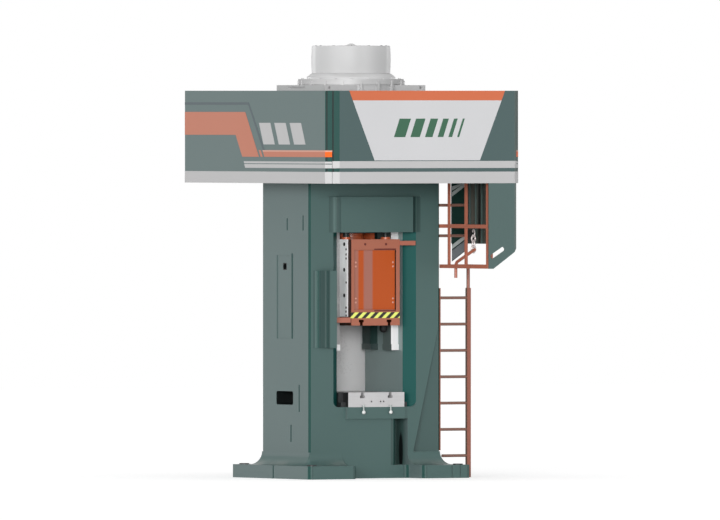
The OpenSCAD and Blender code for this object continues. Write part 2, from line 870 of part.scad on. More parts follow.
module platform_beams() {
    y_end = inner_d / 2;
    z1 = beam_z + beam_h;
    color(green) {
        both_x() slab([near_x, -y_end, beam_z], [near_x + beam_w, y_end, z1]);
        both_x() slab([far_x - beam_w, -y_end + corner_leg, beam_z], [far_x, y_end - corner_leg, z1]);
        both_y() slab([-near_x, -y_end, beam_z], [near_x, -y_end + beam_w, z1]);
        both_y() slab([-near_x, front_y - beam_w, beam_z], [near_x, front_y, z1]);
        four() slab([near_x + beam_w, -y_end + corner_leg, beam_z],
                    [far_x - beam_w, -y_end + corner_leg + beam_w, z1]);
        both_y() slab([-beam_w / 2, -y_end + beam_w, beam_z], [beam_w / 2, front_y - beam_w, z1]);
    }
}

module floor_end() {
    c = corner_leg;
    x = inner_w / 2;
    y = inner_d / 2;
    translate([0, 0, floor_z]) linear_extrude(floor_t) polygon([
        [-x, front_y], [-x, -y + c], [-x + c, -y], [x - c, -y], [x, -y + c], [x, front_y]
    ]);
}

module platform_floor_front() {
    hatch_x = near_x + beam_w;
    color(steel) difference() {
        floor_end();
        slab([hatch_x, -ladder_y - hatch_gap - hatch_l, floor_z - bite],
             [hatch_x + hatch_w, -ladder_y - hatch_gap, floor_z + floor_t + bite]);
    }
}

module platform_floor_rear() { color(steel) mirror([0, 1, 0]) floor_end(); }

module platform_floor_right() {
    color(steel) slab([near_x, front_y, floor_z], [inner_w / 2, -front_y, floor_z + floor_t]);
}

module platform_floor_left() { mirror([1, 0, 0]) platform_floor_right(); }

// Strip that follows one side of the parapet and half of each folded corner.
// Distances are outward from the panel's outer face, and the face is at y = -half_d.
module side_plan(half_w, half_d, inner, outer) {
    fold = tan(22.5);
    bend = half_w - corner_leg;
    seam_x = half_w - corner_leg / 2;
    seam_y = corner_leg / 2;
    s = sqrt(0.5);
    end = seam / 2 * s;
    right = [
        [bend + outer * fold, -outer], [seam_x - end + outer * s, seam_y - end - outer * s],
        [seam_x - end + inner * s, seam_y - end - inner * s], [bend + inner * fold, -inner]
    ];
    left = [for (i = [3 : -1 : 0]) [-right[i][0], right[i][1]]];
    translate([0, -half_d]) polygon(concat(right, left));
}

module front_side(inner, outer) { side_plan(plat_w / 2, plat_d / 2, inner, outer); }
module left_side(inner, outer) { rotate([0, 0, -90]) side_plan(plat_d / 2, plat_w / 2, inner, outer); }

module fascia_front() {
    color(green) translate([0, 0, plat_z]) linear_extrude(panel_z) front_side(-sheet_t, 0);
}
module fascia_rear() { mirror([0, 1, 0]) fascia_front(); }
module fascia_left() {
    color(green) translate([0, 0, plat_z]) linear_extrude(panel_z) left_side(-sheet_t, 0);
}
module fascia_right() { mirror([1, 0, 0]) fascia_left(); }

module base_strip() {
    color(pale) translate([0, 0, plat_z]) linear_extrude(strip_h) {
        both_y() front_side(0, skin_t);
        both_x() left_side(0, skin_t);
    }
}

// Outline on the left panel: s runs towards the front and z is the height above the panel's foot
module on_left_panel() {
    translate([-plat_w / 2, 0, plat_z]) rotate([90, 0, -90]) linear_extrude(skin_t) children();
}

// Skin on the side half of the left front corner
module corner_skin(z, h) {
    reach = corner_leg + 2 * bite;
    translate([0, 0, plat_z + z]) linear_extrude(h) intersection() {
        left_side(0, skin_t);
        translate([-plat_w / 2 - skin_t - bite, -plat_d / 2 - bite]) square(reach);
    }
}

module pale_bands() {
    line_h = 23;
    lower_h = 43;
    side_end = plat_d / 2 - corner_leg;
    start = -240;
    gap = 9;
    color(pale) {
        both_y() translate([0, 0, plat_z + band_z]) linear_extrude(band_h) front_side(0, skin_t);
        both_x() {
            corner_skin(band_z, lower_h);
            corner_skin(band_z + lower_h + gap, line_h);
        }
        both_x() on_left_panel() for (run = [[band_z, lower_h, 12], [band_z + lower_h + gap, line_h, 0]])
            polygon([
                [start + run[2] + run[1] / 2, run[0]], [side_end, run[0]],
                [side_end, run[0] + run[1]], [start + run[2], run[0] + run[1]]
            ]);
    }
}

module sign_panel() {
    top = panel_z - cap_h;
    low = band_z + band_h + 8;
    edge = sign_top - (sign_top - sign_low) * cap_h / (panel_z - low);
    color("white") translate([0, 0, plat_z]) through_y(-plat_d / 2 - skin_t, -plat_d / 2) polygon([
        [-sign_low, low], [sign_low, low], [edge, top], [-edge, top]
    ]);
}

module sign_cap_band() {
    top = panel_z - cap_h;
    low = band_z + band_h + 8;
    edge = sign_top - (sign_top - sign_low) * cap_h / (panel_z - low);
    color(orange) translate([0, 0, plat_z]) through_y(-plat_d / 2 - skin_t, -plat_d / 2) polygon([
        [-edge, top], [edge, top], [sign_top, panel_z], [-sign_top, panel_z]
    ]);
}

module side_stripes() {
    rear = -plat_d / 2 + corner_leg;
    front = plat_d / 2 - corner_leg;
    slope = 0.6;
    wide_top = wide_z + wide_h;
    run_top = run_z + run_h;
    upper = -209;
    lower = -420;
    tip = upper + (wide_top - run_z) * slope;
    mid = upper + (wide_top - run_top) * slope;
    bar = 42;
    color(orange) both_x() corner_skin(run_z, run_h);
    color(orange) both_x() on_left_panel() {
        polygon([
            [rear, wide_z], [lower, wide_z], [lower + (wide_z - run_z) * slope, run_z], [tip, run_z],
            [upper, wide_top], [rear, wide_top]
        ]);
        polygon([[tip + bar, run_z], [tip + 2 * bar, run_z], [mid + 2 * bar, run_top], [mid + bar, run_top]]);
        polygon([[tip + 3 * bar, run_z], [front, run_z], [front, run_top], [mid + 3 * bar, run_top]]);
    }
}

// Ladder

module ladder_stile() {
    neck_r = 20;
    color(orange) {
        slab([stile_x, -ladder_y - stile_d / 2, 0], [stile_x + stile_w, -ladder_y + stile_d / 2, stile_top]);
        translate([stile_x + stile_w / 2, -ladder_y, stile_top - bite])
            cylinder(r = neck_r, h = cage_z - stile_top + bite);
    }
}

module ladder_wall_bar() {
    color(orange) slab([near_x, -ladder_y - wall_bar[0], base_t + base_fillet + 10],
                       [near_x + wall_bar[1], -ladder_y + wall_bar[2], stile_top]);
}

module ladder_rungs() {
    color(orange) for (i = [0 : floor((stile_top - rung_z) / rung_pitch)]) {
        z = rung_z + i * rung_pitch;
        start = z < base_t + base_fillet + 30 ? near_x + 40 : near_x + wall_bar[1];
        translate([start, -ladder_y + rung_in, z]) rotate([0, 90, 0])
            cylinder(r = rung_r, h = stile_x - start);
    }
}

// Cage

module post(x, y, foot = cage_z + rail_h) {
    slab([x - post_w / 2, y - post_w / 2, foot], [x + post_w / 2, y + post_w / 2, beam_z]);
}

module cage_posts() {
    color(orange) {
        for (y = [-cage_front, -cage_mid_y, -cage_rear_y]) post(cage_x, y);
        for (y = [-cage_mid_y, -ladder_y]) post(post_x, y);
        post(post_x, -cage_front, plat_z - side_shield_h);
    }
}

module side_rail(x, y0) {
    slab([x - post_w / 2, y0 - post_w / 2, cage_z],
         [x + post_w / 2, -ladder_y + post_w / 2, cage_z + rail_h]);
}

module cage_rails() {
    bay = cage_x + post_w / 2;
    mid_z = cage_z + mid_rail;
    color(orange) {
        side_rail(cage_x, -cage_front);
        side_rail(post_x, -cage_mid_y);
        for (y = [-cage_mid_y, -ladder_y])
            slab([bay, y - post_w / 2, cage_z], [post_x - post_w / 2, y + post_w / 2, cage_z + rail_h]);
        for (y = [[-cage_front, -cage_mid_y], [-cage_mid_y, -cage_rear_y]])
            slab([cage_x - post_w / 2, y[0] + post_w / 2, mid_z],
                 [cage_x + post_w / 2, y[1] - post_w / 2, mid_z + rail_h]);
        slab([near_x, -ladder_y - post_w / 2, mid_z],
             [post_x - post_w / 2, -ladder_y + post_w / 2, mid_z + rail_h]);
    }
}

module cage_rungs() {
    color(orange) for (i = [1 : 2]) translate([near_x, -ladder_y, cage_z + 20 + i * cage_pitch])
        rotate([0, 90, 0]) cylinder(r = rung_r, h = post_x - post_w / 2 - near_x);
}

// Tube that climbs beside the left posts, then turns forwards in one bend
module grab_tube() {
    tube_r = 18;
    bend_r = 60;
    turn = 69.5;
    slope_len = 400;
    start_y = cage_rear_y + 96;
    x = cage_x + post_w / 2 + tube_r;
    drop = 110;
    low = cage_z - drop;
    knee = cage_z + 20;
    color(orange) translate([x, -start_y, 0]) {
        translate([0, 0, low]) cylinder(r = tube_r, h = knee - low);
        translate([0, -bend_r, knee]) {
            rotate([90, 0, 90]) rotate_extrude(angle = turn) translate([bend_r, 0]) circle(tube_r);
            rotate([turn, 0, 0]) translate([0, bend_r, 0]) cylinder(r = tube_r, h = slope_len);
        }
    }
}

module shield_front() {
    foot = cage_z;
    right = plat_w / 2 - corner_leg / 2;
    color(green) difference() {
        translate([0, 0, foot]) linear_extrude(plat_z - foot) difference() {
            front_side(-sheet_t, 0);
            translate([-plat_w, -plat_d]) square([plat_w + shield_left, plat_d]);
        }
        through_y(-plat_d, 0) polygon([
            [shield_left + shield_flat, foot - bite], [right + bite, foot - bite],
            [right + bite, foot + shield_drop + bite], [right, foot + shield_drop],
            [shield_left + shield_flat, foot]
        ]);
        translate([shield_left + shield_slot[0], 0, foot + shield_slot[1]]) rotate([0, -shield_slot[4], 0])
            through_y(-plat_d, 0) rounded(shield_slot[2], shield_slot[3], 20);
    }
}

module shield_side() {
    x = plat_w / 2 - sheet_t;
    front = -plat_d / 2 + corner_leg + shield_front_gap;
    foot = plat_z - side_shield_h;
    color(green) {
        slab([x, front, foot], [plat_w / 2, -shield_rear_y, plat_z]);
        for (i = [1 : 5])
            slab([x - shield_rib, rib_y(i) - shield_rib, foot], [x + bite, rib_y(i) + shield_rib, plat_z]);
    }
}

module junction_box() {
    x = plat_w / 2 - sheet_t - shield_rib;
    y = rib_y(4) - shield_rib;
    z = cage_z + box_z;
    color(pale) slab([x - box_size[0], y, z], [x, y + box_size[1], z + box_size[2]]);
}

frame_casting();
anchor_washers();
rear_guard_sheet();
guide_rail_front_left();
guide_rail_front_right();
guide_rail_rear_left();
guide_rail_rear_right();
guide_stops();
bolster_plate();
bolster_clamps();
bolster_side_pads();
ejector_cylinder();
ejector_pin();
rod_seals();
bearing_cover();
thrust_bearing();
screw_bush();
motor_pedestal();
motor_base_ring();
stator_housing();
stator_core();
motor_top_cover();
main_screw();
rotor();
slide_body();
slide_cover_panel();
hazard_strip();
slide_bottom_plate();
slide_liners();
slide_nut();
nut_ring();
slide_arm_left();
slide_arm_right();
balance_lugs();
balance_rods();
platform_beams();
platform_floor_front();
platform_floor_rear();
platform_floor_left();
platform_floor_right();
fascia_front();
fascia_rear();
fascia_left();
fascia_right();
base_strip();
pale_bands();
sign_panel();
sign_cap_band();
side_stripes();
ladder_stile();
ladder_wall_bar();
ladder_rungs();
cage_posts();
cage_rails();
cage_rungs();
grab_tube();
shield_front();
shield_side();
junction_box();
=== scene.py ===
"""Electric screw press: its finishes, fine parts, light and camera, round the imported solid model."""
import logging
import math
from dataclasses import dataclass, replace
from enum import Enum
from typing import Optional, Sequence, Union

import bmesh
import bpy
import numpy as np
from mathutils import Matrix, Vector


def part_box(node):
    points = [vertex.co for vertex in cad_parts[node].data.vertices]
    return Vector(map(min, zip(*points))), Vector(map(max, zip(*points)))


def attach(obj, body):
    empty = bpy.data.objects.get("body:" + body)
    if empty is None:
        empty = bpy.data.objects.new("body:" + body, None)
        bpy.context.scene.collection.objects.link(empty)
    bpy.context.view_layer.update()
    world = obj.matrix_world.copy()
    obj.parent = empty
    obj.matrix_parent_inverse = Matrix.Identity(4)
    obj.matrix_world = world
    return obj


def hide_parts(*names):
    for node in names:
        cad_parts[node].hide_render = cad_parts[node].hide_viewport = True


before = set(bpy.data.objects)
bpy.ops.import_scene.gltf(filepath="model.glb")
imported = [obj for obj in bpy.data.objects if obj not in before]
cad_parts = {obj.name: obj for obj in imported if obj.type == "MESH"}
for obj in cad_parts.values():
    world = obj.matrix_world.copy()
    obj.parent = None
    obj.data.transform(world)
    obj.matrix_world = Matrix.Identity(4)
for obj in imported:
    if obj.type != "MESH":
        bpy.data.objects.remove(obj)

LOG = logging.getLogger("screw_press")
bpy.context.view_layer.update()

Triple = tuple[float, float, float]
Colour = Triple
Span = tuple[float, float]
Mesh = tuple[np.ndarray, np.ndarray]
Socket = bpy.types.NodeSocket
Input = Union[float, Sequence[float], Socket]
Layers = Sequence[tuple[Input, Input]]


# Node helpers


class Net:
    """Adds nodes to one node tree and joins their sockets."""

    def __init__(self, tree: bpy.types.NodeTree) -> None:
        """Keeps the tree that the nodes go into."""
        self.tree = tree

    def feed(self, node: bpy.types.Node, inputs: dict[Union[int, str], Input]) -> None:
        """Gives a node's inputs, by name or number, their values, or joins them to sockets."""
        for name, value in inputs.items():
            if isinstance(value, Socket):
                self.tree.links.new(value, node.inputs[name])
            else:
                node.inputs[name].default_value = value

    def add(self, kind: str, inputs: Optional[dict[Union[int, str], Input]] = None,
            **settings: object) -> bpy.types.Node:
        """Adds one node.

        Args:
            kind: Blender's name for the node type, without the word ShaderNode in front.
            inputs: a value or a socket for each input, by name or number.
            settings: the node's own settings.

        Returns:
            The new node.
        """
        node = self.tree.nodes.new(f"ShaderNode{kind}")
        for name, value in settings.items():
            setattr(node, name, value)
        self.feed(node, inputs or {})
        return node

    def group(self, key: str, inputs: dict[str, Input]) -> bpy.types.Node:
        """Adds one of the shared groups."""
        return self.add("Group", inputs, node_tree=GROUPS[key])

    def calc(self, operation: str, *values: Input) -> Socket:
        """Returns the result of one sum on numbers."""
        return self.add("Math", dict(enumerate(values)), operation=operation).outputs[0]

    def product(self, first: Input, *others: Input) -> Input:
        """Returns all values multiplied."""
        for value in others:
            first = self.calc("MULTIPLY", first, value)
        return first

    def within(self, value: Input, low: float, high: float) -> Socket:
        """Returns 1 between two limits and 0 elsewhere."""
        return self.calc("COMPARE", value, (low + high) / 2, (high - low) / 2)

    def fade(self, value: Input, low: float, high: float) -> Socket:
        """Returns 0 below low, 1 above high and a smooth rise between them."""
        return self.add("MapRange", {0: value, 1: low, 2: high}, interpolation_type="SMOOTHSTEP").outputs[0]

    def ellipse(self, values: Sequence[Input], middles: Sequence[float], reaches: Sequence[float]) -> Socket:
        """Returns the sum of ((value - middle) / reach) squared, which is 1 on an ellipse."""
        shares = [self.calc("DIVIDE", self.calc("SUBTRACT", value, middle), reach)
                  for value, middle, reach in zip(values, middles, reaches)]
        return self.calc("ADD", *(self.calc("POWER", self.calc("ABSOLUTE", share), 2.0) for share in shares))

    def blend(self, share: Input, first: Input, second: Input) -> Socket:
        """Returns the first colour where share is 0 and the second where it is 1."""
        return self.add("Mix", {0: share, 6: first, 7: second}, data_type="RGBA").outputs[2]

    def stack(self, shade: Input, layers: Layers) -> Input:
        """Returns a colour with layers over it, each a mask and a colour."""
        for mask, colour in layers:
            shade = self.blend(mask, shade, colour if isinstance(colour, Socket) else rgba(colour))
        return shade

    def tint(self, colour: Input, value: Input) -> Socket:
        """Returns a colour whose brightness is multiplied by a value."""
        return self.add("HueSaturation", {"Value": value, "Color": colour}).outputs[0]

    def noise(self, place: Input, scale: float, detail: float = 2.0) -> Socket:
        """Returns noise from 0 to 1 at a place, with scale grains in a metre."""
        return self.add("TexNoise", {"Vector": place, "Scale": scale, "Detail": detail}).outputs[0]

    def place(self) -> Socket:
        """Returns the Object coordinates, in metres."""
        return self.add("TexCoord").outputs["Object"]

    def stretched(self, scale: Input) -> Socket:
        """Returns the Object coordinates, multiplied by a number on each axis."""
        return self.add("VectorMath", {0: self.place(), 1: scale}, operation="MULTIPLY").outputs[0]

    def normal(self, kind: str = "True Normal") -> Socket:
        """Returns the way the face looks."""
        return self.add("NewGeometry").outputs[kind]

    def axes(self, vector: Input) -> tuple[Socket, ...]:
        """Returns the X, Y and Z of a vector."""
        return tuple(self.add("SeparateXYZ", {0: vector}).outputs)

    def seen(self) -> Socket:
        """Returns 1 for what the camera sees, also in gloss or through glass."""
        path = self.add("LightPath").outputs
        mirrored = self.calc("MAXIMUM", path["Is Glossy Ray"], path["Is Transmission Ray"])
        return self.calc("MAXIMUM", path["Is Camera Ray"], mirrored)


def rgba(colour: Colour) -> tuple[float, float, float, float]:
    """Returns a colour with full alpha."""
    return (*colour, 1.0)


SOCKET_KINDS = {"Colour": "Color", "Deep": "Color", "Flank": "Color", "Dust": "Color", "Lines": "Vector"}
SURFACE_OUT = ("Colour", "Roughness", "Height")


def start_group(name: str, inputs: Sequence[str],
                outputs: Sequence[str]) -> tuple[Net, dict[str, Socket], bpy.types.Node]:
    """Starts a shader node group, whose sockets hold numbers where SOCKET_KINDS names nothing else.

    Args:
        name: the group's name.
        inputs: the inputs' names.
        outputs: the outputs' names.

    Returns:
        The group's net, its input sockets by name, and its output node.
    """
    tree = bpy.data.node_groups.new(name, "ShaderNodeTree")
    for direction, labels in (("INPUT", inputs), ("OUTPUT", outputs)):
        for label in labels:
            kind = SOCKET_KINDS.get(label, "Float")
            tree.interface.new_socket(name=label, in_out=direction, socket_type=f"NodeSocket{kind}")
    entry, leave = tree.nodes.new("NodeGroupInput"), tree.nodes.new("NodeGroupOutput")
    return Net(tree), {label: entry.outputs[label] for label in inputs}, leave


def send_surface(net: Net, given: dict[str, Socket], leave: bpy.types.Node, swing: Socket,
                 contrast: Input, wear: Input, height: Socket) -> bpy.types.NodeTree:
    """Ends a group: its colour and roughness follow one swing, and a height goes out for the bump.

    Args:
        net: the group's net.
        given: its inputs, with Colour and Roughness.
        leave: its output node.
        swing: a value that swings round 0.
        contrast: how far the colour's brightness follows the swing.
        wear: how far the roughness does.
        height: the height that goes out.

    Returns:
        The finished group.
    """
    bright = net.calc("MULTIPLY_ADD", swing, contrast, 1.0)
    rough = net.calc("MULTIPLY_ADD", swing, wear, given["Roughness"])
    net.feed(leave, {"Colour": net.tint(given["Colour"], bright), "Roughness": rough, "Height": height})
    return net.tree


def film_group() -> bpy.types.NodeTree:
    """Sprayed paint: the tone wanders over broad patches and fine grain, and the film has orange peel."""
    net, given, leave = start_group(
        "paint_film", ("Colour", "Tone Spread", "Roughness", "Roughness Spread"), SURFACE_OUT)
    place, broad_share = net.place(), 0.7
    broad, grain, peel = (net.noise(place, *size) for size in ((1.1, 3.0), (45.0, 4.0), (320.0, 1.0)))
    mixed = net.calc("ADD", net.product(broad, broad_share), net.product(grain, 1.0 - broad_share))
    swing = net.calc("SUBTRACT", mixed, 0.5)
    return send_surface(net, given, leave, swing, given["Tone Spread"], given["Roughness Spread"], peel)


def facing_group() -> bpy.types.NodeTree:
    """Painted reflection and shade that follow the way a face looks, with the mask of its corners.

    Upright faces at 45 degrees, where |nx * ny| nears a half, take the deep colour, a painted reflection,
    and faces that look to the sides, where |nx| nears 1, take the flank colour, which is painted sheen
    on some finishes and painted shade on others.
    """
    corner_rise, flank_rise = (0.30, 0.47), (0.90, 0.99)
    net, given, leave = start_group(
        "paint_by_facing", ("Colour", "Deep", "Deep Amount", "Flank", "Flank Amount"), ("Colour", "Corner"))
    nx, ny, _ = net.axes(net.normal())
    slant = net.calc("ABSOLUTE", net.product(nx, ny))
    corner = net.product(net.fade(slant, *corner_rise), given["Deep Amount"])
    flank = net.product(net.fade(net.calc("ABSOLUTE", nx), *flank_rise), given["Flank Amount"])
    layers = ((corner, given["Deep"]), (flank, given["Flank"]))
    net.feed(leave, {"Colour": net.stack(given["Colour"], layers), "Corner": corner})
    return net.tree


def dust_group() -> bpy.types.NodeTree:
    """Thin dust on faces that look up, in patches."""
    upward_rise, patch_rise = (0.5, 0.95), (0.35, 0.7)
    net, given, leave = start_group("settled_dust", ("Colour", "Dust", "Amount"), ("Colour",))
    upward = net.fade(net.axes(net.normal("Normal"))[2], *upward_rise)
    patch = net.fade(net.noise(net.place(), 3.0, 5.0), *patch_rise)
    mask = net.product(upward, patch, given["Amount"])
    net.feed(leave, {"Colour": net.blend(mask, given["Colour"], given["Dust"])})
    return net.tree


def ground_group() -> bpy.types.NodeTree:
    """Ground steel: noise that is stretched along one axis gives fine parallel lines."""
    net, given, leave = start_group(
        "ground_lines", ("Colour", "Lines", "Contrast", "Roughness"), SURFACE_OUT)
    lines = net.noise(net.stretched(given["Lines"]), 1.0, 3.0)
    stain = net.noise(net.place(), 5.0, 4.0)
    swing = net.calc("SUBTRACT", net.calc("ADD", lines, net.product(stain, 0.4)), 0.7)
    return send_surface(net, given, leave, swing, given["Contrast"], 0.25, lines)


def turned_group() -> bpy.types.NodeTree:
    """Turned metal: fine rings round the press's axis, from the height and the distance to the axis."""
    rings_a_metre = 700.0
    net, given, leave = start_group("turned_rings", ("Colour", "Contrast", "Roughness"), SURFACE_OUT)
    x, y, z = net.axes(net.place())
    flat = net.add("CombineXYZ", {0: x, 1: y}).outputs[0]
    radius = net.add("VectorMath", {0: flat}, operation="LENGTH").outputs["Value"]
    rings = net.add("CombineXYZ", {0: net.product(radius, rings_a_metre), 1: net.product(z, rings_a_metre)})
    lines = net.noise(rings.outputs[0], 1.0, 2.0)
    swing = net.calc("SUBTRACT", lines, 0.5)
    return send_surface(net, given, leave, swing, given["Contrast"], 0.2, lines)


GROUPS = {"film": film_group(), "facing": facing_group(), "dust": dust_group(), "ground": ground_group(),
          "turned": turned_group()}
DUST_COLOUR: Colour = (0.42, 0.41, 0.39)


class Grain(Enum):
    """Direction of the ground lines, as grains in a metre along X, Y and Z."""

    UPRIGHT = (420.0, 420.0, 5.0)
    ACROSS = (5.0, 420.0, 420.0)


def from_group(group: bpy.types.Node, bump: float, relief: float, **more: Input) -> dict[str, Input]:
    """Returns a group's outputs as the shader's inputs.

    Args:
        group: a group node with Colour, Roughness and Height out.
        bump: the bump's strength.
        relief: the bump's height, in metres.
        more: further inputs of the shader.

    Returns:
        The shader's inputs by name.
    """
    return {"Base Color": group.outputs["Colour"], "Roughness": group.outputs["Roughness"],
            "Height": group.outputs["Height"], "Bump": bump, "Relief": relief, **more}


@dataclass(frozen=True)
class Finish:
    """What every finish of the press has in common."""

    name: str
    slot: str
    colour: Colour
    roughness: float = 0.4

    def surface(self, net: Net) -> dict[str, Input]:
        """Adds the nodes of this finish.

        Args:
            net: the material's net.

        Returns:
            The shader's inputs by name. Height, Bump and Relief become a bump.
        """
        raise NotImplementedError

    def material(self) -> bpy.types.Material:
        """Returns this finish as a Blender material, made once."""
        found = bpy.data.materials.get(self.name)
        if found:
            return found
        made = bpy.data.materials.new(self.name)
        made.use_nodes = True
        made.diffuse_color = rgba(self.colour)
        net = Net(made.node_tree)
        inputs = self.surface(net)
        bump = net.add("Bump", {"Height": inputs.pop("Height"), "Strength": inputs.pop("Bump"),
                                "Distance": inputs.pop("Relief")})
        net.feed(made.node_tree.nodes["Principled BSDF"], {**inputs, "Normal": bump.outputs[0]})
        return made


@dataclass(frozen=True)
class Paint(Finish):
    """Sprayed paint with dust where asked for; its deep and flank colours are painted light and shade."""

    # The deep colour is a painted reflection on 45 degree corners; the flank colour is painted light on side
    # faces, a sheen on the green sheets and shade on the slide and ladder.
    deep: Optional[Colour] = None
    flank: Optional[Colour] = None
    deep_dulling: float = 0.7
    spread: float = 0.10
    wear: float = 0.2
    dust: float = 0.25
    gloss: float = 0.5
    bump: float = 0.12
    relief: float = 0.0003

    def under(self, net: Net) -> Layers:
        """Returns the masks and colours that lie under the film."""
        return ()

    def over(self, net: Net) -> Layers:
        """Returns the masks and colours that lie over the film and the dust."""
        return ()

    def coat(self, net: Net, colour: Input) -> dict[str, Input]:
        """Adds film, painted reflection and shade by facing, and dust over a colour; returns the shader's
        inputs.
        """
        film = net.group("film", {"Colour": colour, "Tone Spread": self.spread,
                                  "Roughness": self.roughness, "Roughness Spread": self.wear})
        inputs = from_group(film, self.bump, self.relief)
        shade, gloss = film.outputs["Colour"], self.gloss
        if self.deep or self.flank:
            facing = net.group("facing", {"Colour": shade, "Deep": rgba(self.deep or self.colour),
                                          "Deep Amount": float(bool(self.deep)),
                                          "Flank": rgba(self.flank or self.colour),
                                          "Flank Amount": float(bool(self.flank))})
            shade = facing.outputs["Colour"]
            if self.deep:
                gloss = net.calc("MULTIPLY_ADD", facing.outputs["Corner"], -self.deep_dulling * gloss, gloss)
        if self.dust:
            settled = {"Colour": shade, "Dust": rgba(DUST_COLOUR), "Amount": self.dust}
            shade = net.group("dust", settled).outputs["Colour"]
        return {**inputs, "Base Color": shade, "Specular IOR Level": gloss}

    def surface(self, net: Net) -> dict[str, Input]:
        """Adds the paint between its two stacks of layers and returns the shader's inputs."""
        inputs = self.coat(net, net.stack(rgba(self.colour), self.under(net)))
        inputs["Base Color"] = net.stack(inputs["Base Color"], self.over(net))
        return inputs


@dataclass(frozen=True)
class GroundSteel(Finish):
    """Ground or milled steel with lines along one axis."""

    grain: Grain = Grain.UPRIGHT
    contrast: float = 0.35
    metallic: float = 0.6
    flank: Optional[Colour] = None
    flank_from: float = 0.0
    rear: Optional[Colour] = None
    bump: float = 0.1
    relief: float = 0.0002

    def surface(self, net: Net) -> dict[str, Input]:
        """Adds the ground lines, over paint on what stands behind the screw's axis and a flank colour,
        which is green paint on the rails and painted shade on the bolster's ends.
        """
        shade: Input = rgba(self.colour)
        if self.flank:
            sideways = net.calc("ABSOLUTE", net.axes(net.place())[0])
            outer = net.calc("GREATER_THAN", sideways, self.flank_from)
            facing = net.group("facing", {"Colour": shade, "Deep": shade, "Deep Amount": 0.0,
                                          "Flank": rgba(self.flank), "Flank Amount": outer})
            shade = facing.outputs["Colour"]
        if self.rear:
            behind = net.calc("GREATER_THAN", net.axes(net.place())[1], 0.0)
            shade = net.stack(shade, [(behind, self.rear)])
        lines = net.group("ground", {"Colour": shade, "Lines": self.grain.value,
                                     "Contrast": self.contrast, "Roughness": self.roughness})
        return from_group(lines, self.bump, self.relief, Metallic=self.metallic)


@dataclass(frozen=True)
class TurnedMetal(Finish):
    """Metal that was turned on a lathe round the press's axis."""

    contrast: float = 0.3
    metallic: float = 0.8
    bump: float = 0.15
    relief: float = 0.0003

    def surface(self, net: Net) -> dict[str, Input]:
        """Adds the turned rings and returns the shader's inputs."""
        rings = net.group("turned", {"Colour": rgba(self.colour), "Contrast": self.contrast,
                                     "Roughness": self.roughness})
        return from_group(rings, self.bump, self.relief, Metallic=self.metallic)


@dataclass(frozen=True)
class HazardPaint(Paint):
    """Slanted yellow and black stripes across the slide's foot."""

    black: Colour = (0.012, 0.012, 0.011)
    pitch: float = 0.1067
    slant: float = 1.10
    share: float = 0.50
    soft: float = 0.015
    start: float = 0.0006

    def under(self, net: Net) -> Layers:
        """Returns the black stripes, past the first share of each pitch of the slanted distance along X."""
        x, _, z = net.axes(net.place())
        along = net.calc("MULTIPLY_ADD", z, -self.slant, x)
        turn = net.calc("FRACT", net.calc("DIVIDE", net.calc("ADD", along, self.start), self.pitch))
        return [(net.fade(turn, self.share - self.soft, self.share + self.soft), self.black)]


@dataclass(frozen=True)
class SignPaint(Paint):
    """White sign with plain slanted bars in its middle."""

    bar_colour: Colour = (0.030, 0.110, 0.060)
    bars: tuple[Span, ...] = (
        (-0.330, 0.150), (-0.125, 0.125), (0.055, 0.100), (0.210, 0.075), (0.340, 0.050), (0.445, 0.028))
    slant: float = 0.36
    middle: float = 3.989
    half_height: float = 0.105

    def under(self, net: Net) -> Layers:
        """Returns the bars: green where the slanted X is within half a bar's width of its centre."""
        x, _, z = net.axes(net.place())
        height = net.calc("SUBTRACT", z, self.middle)
        along = net.calc("MULTIPLY_ADD", height, -self.slant, x)
        level = net.within(height, -self.half_height, self.half_height)
        return [(net.product(level, net.within(along, centre - width / 2, centre + width / 2)),
                 self.bar_colour) for centre, width in self.bars]


@dataclass(frozen=True)
class TreadPlate(Paint):
    """Steel floor plate with raised lozenges that lie across each other."""

    cell: float = 0.045
    long_half: float = 0.40
    short_half: float = 0.13
    edge: Span = (0.6, 1.1)
    bump: float = 0.6
    relief: float = 0.002

    def surface(self, net: Net) -> dict[str, Input]:
        """Adds the lozenges: an ellipse in each cell, turned left or right by the cell's parity."""
        across, ahead = (net.calc("DIVIDE", value, self.cell) for value in net.axes(net.place())[:2])
        cells = net.calc("ADD", net.calc("FLOOR", across), net.calc("FLOOR", ahead))
        sign = net.calc("MULTIPLY_ADD", net.calc("PINGPONG", cells, 1.0), 2.0, -1.0)
        x, y = (net.calc("SUBTRACT", net.calc("FRACT", value), 0.5) for value in (across, ahead))
        y = net.product(y, sign)
        diagonals = net.calc("ADD", x, y), net.calc("SUBTRACT", x, y)
        diagonal = 1.414
        reach = net.ellipse(diagonals, (0.0, 0.0), (diagonal * self.long_half, diagonal * self.short_half))
        lozenge = net.calc("SUBTRACT", 1.0, net.fade(reach, *self.edge))
        return {**self.coat(net, rgba(self.colour)), "Height": lozenge}


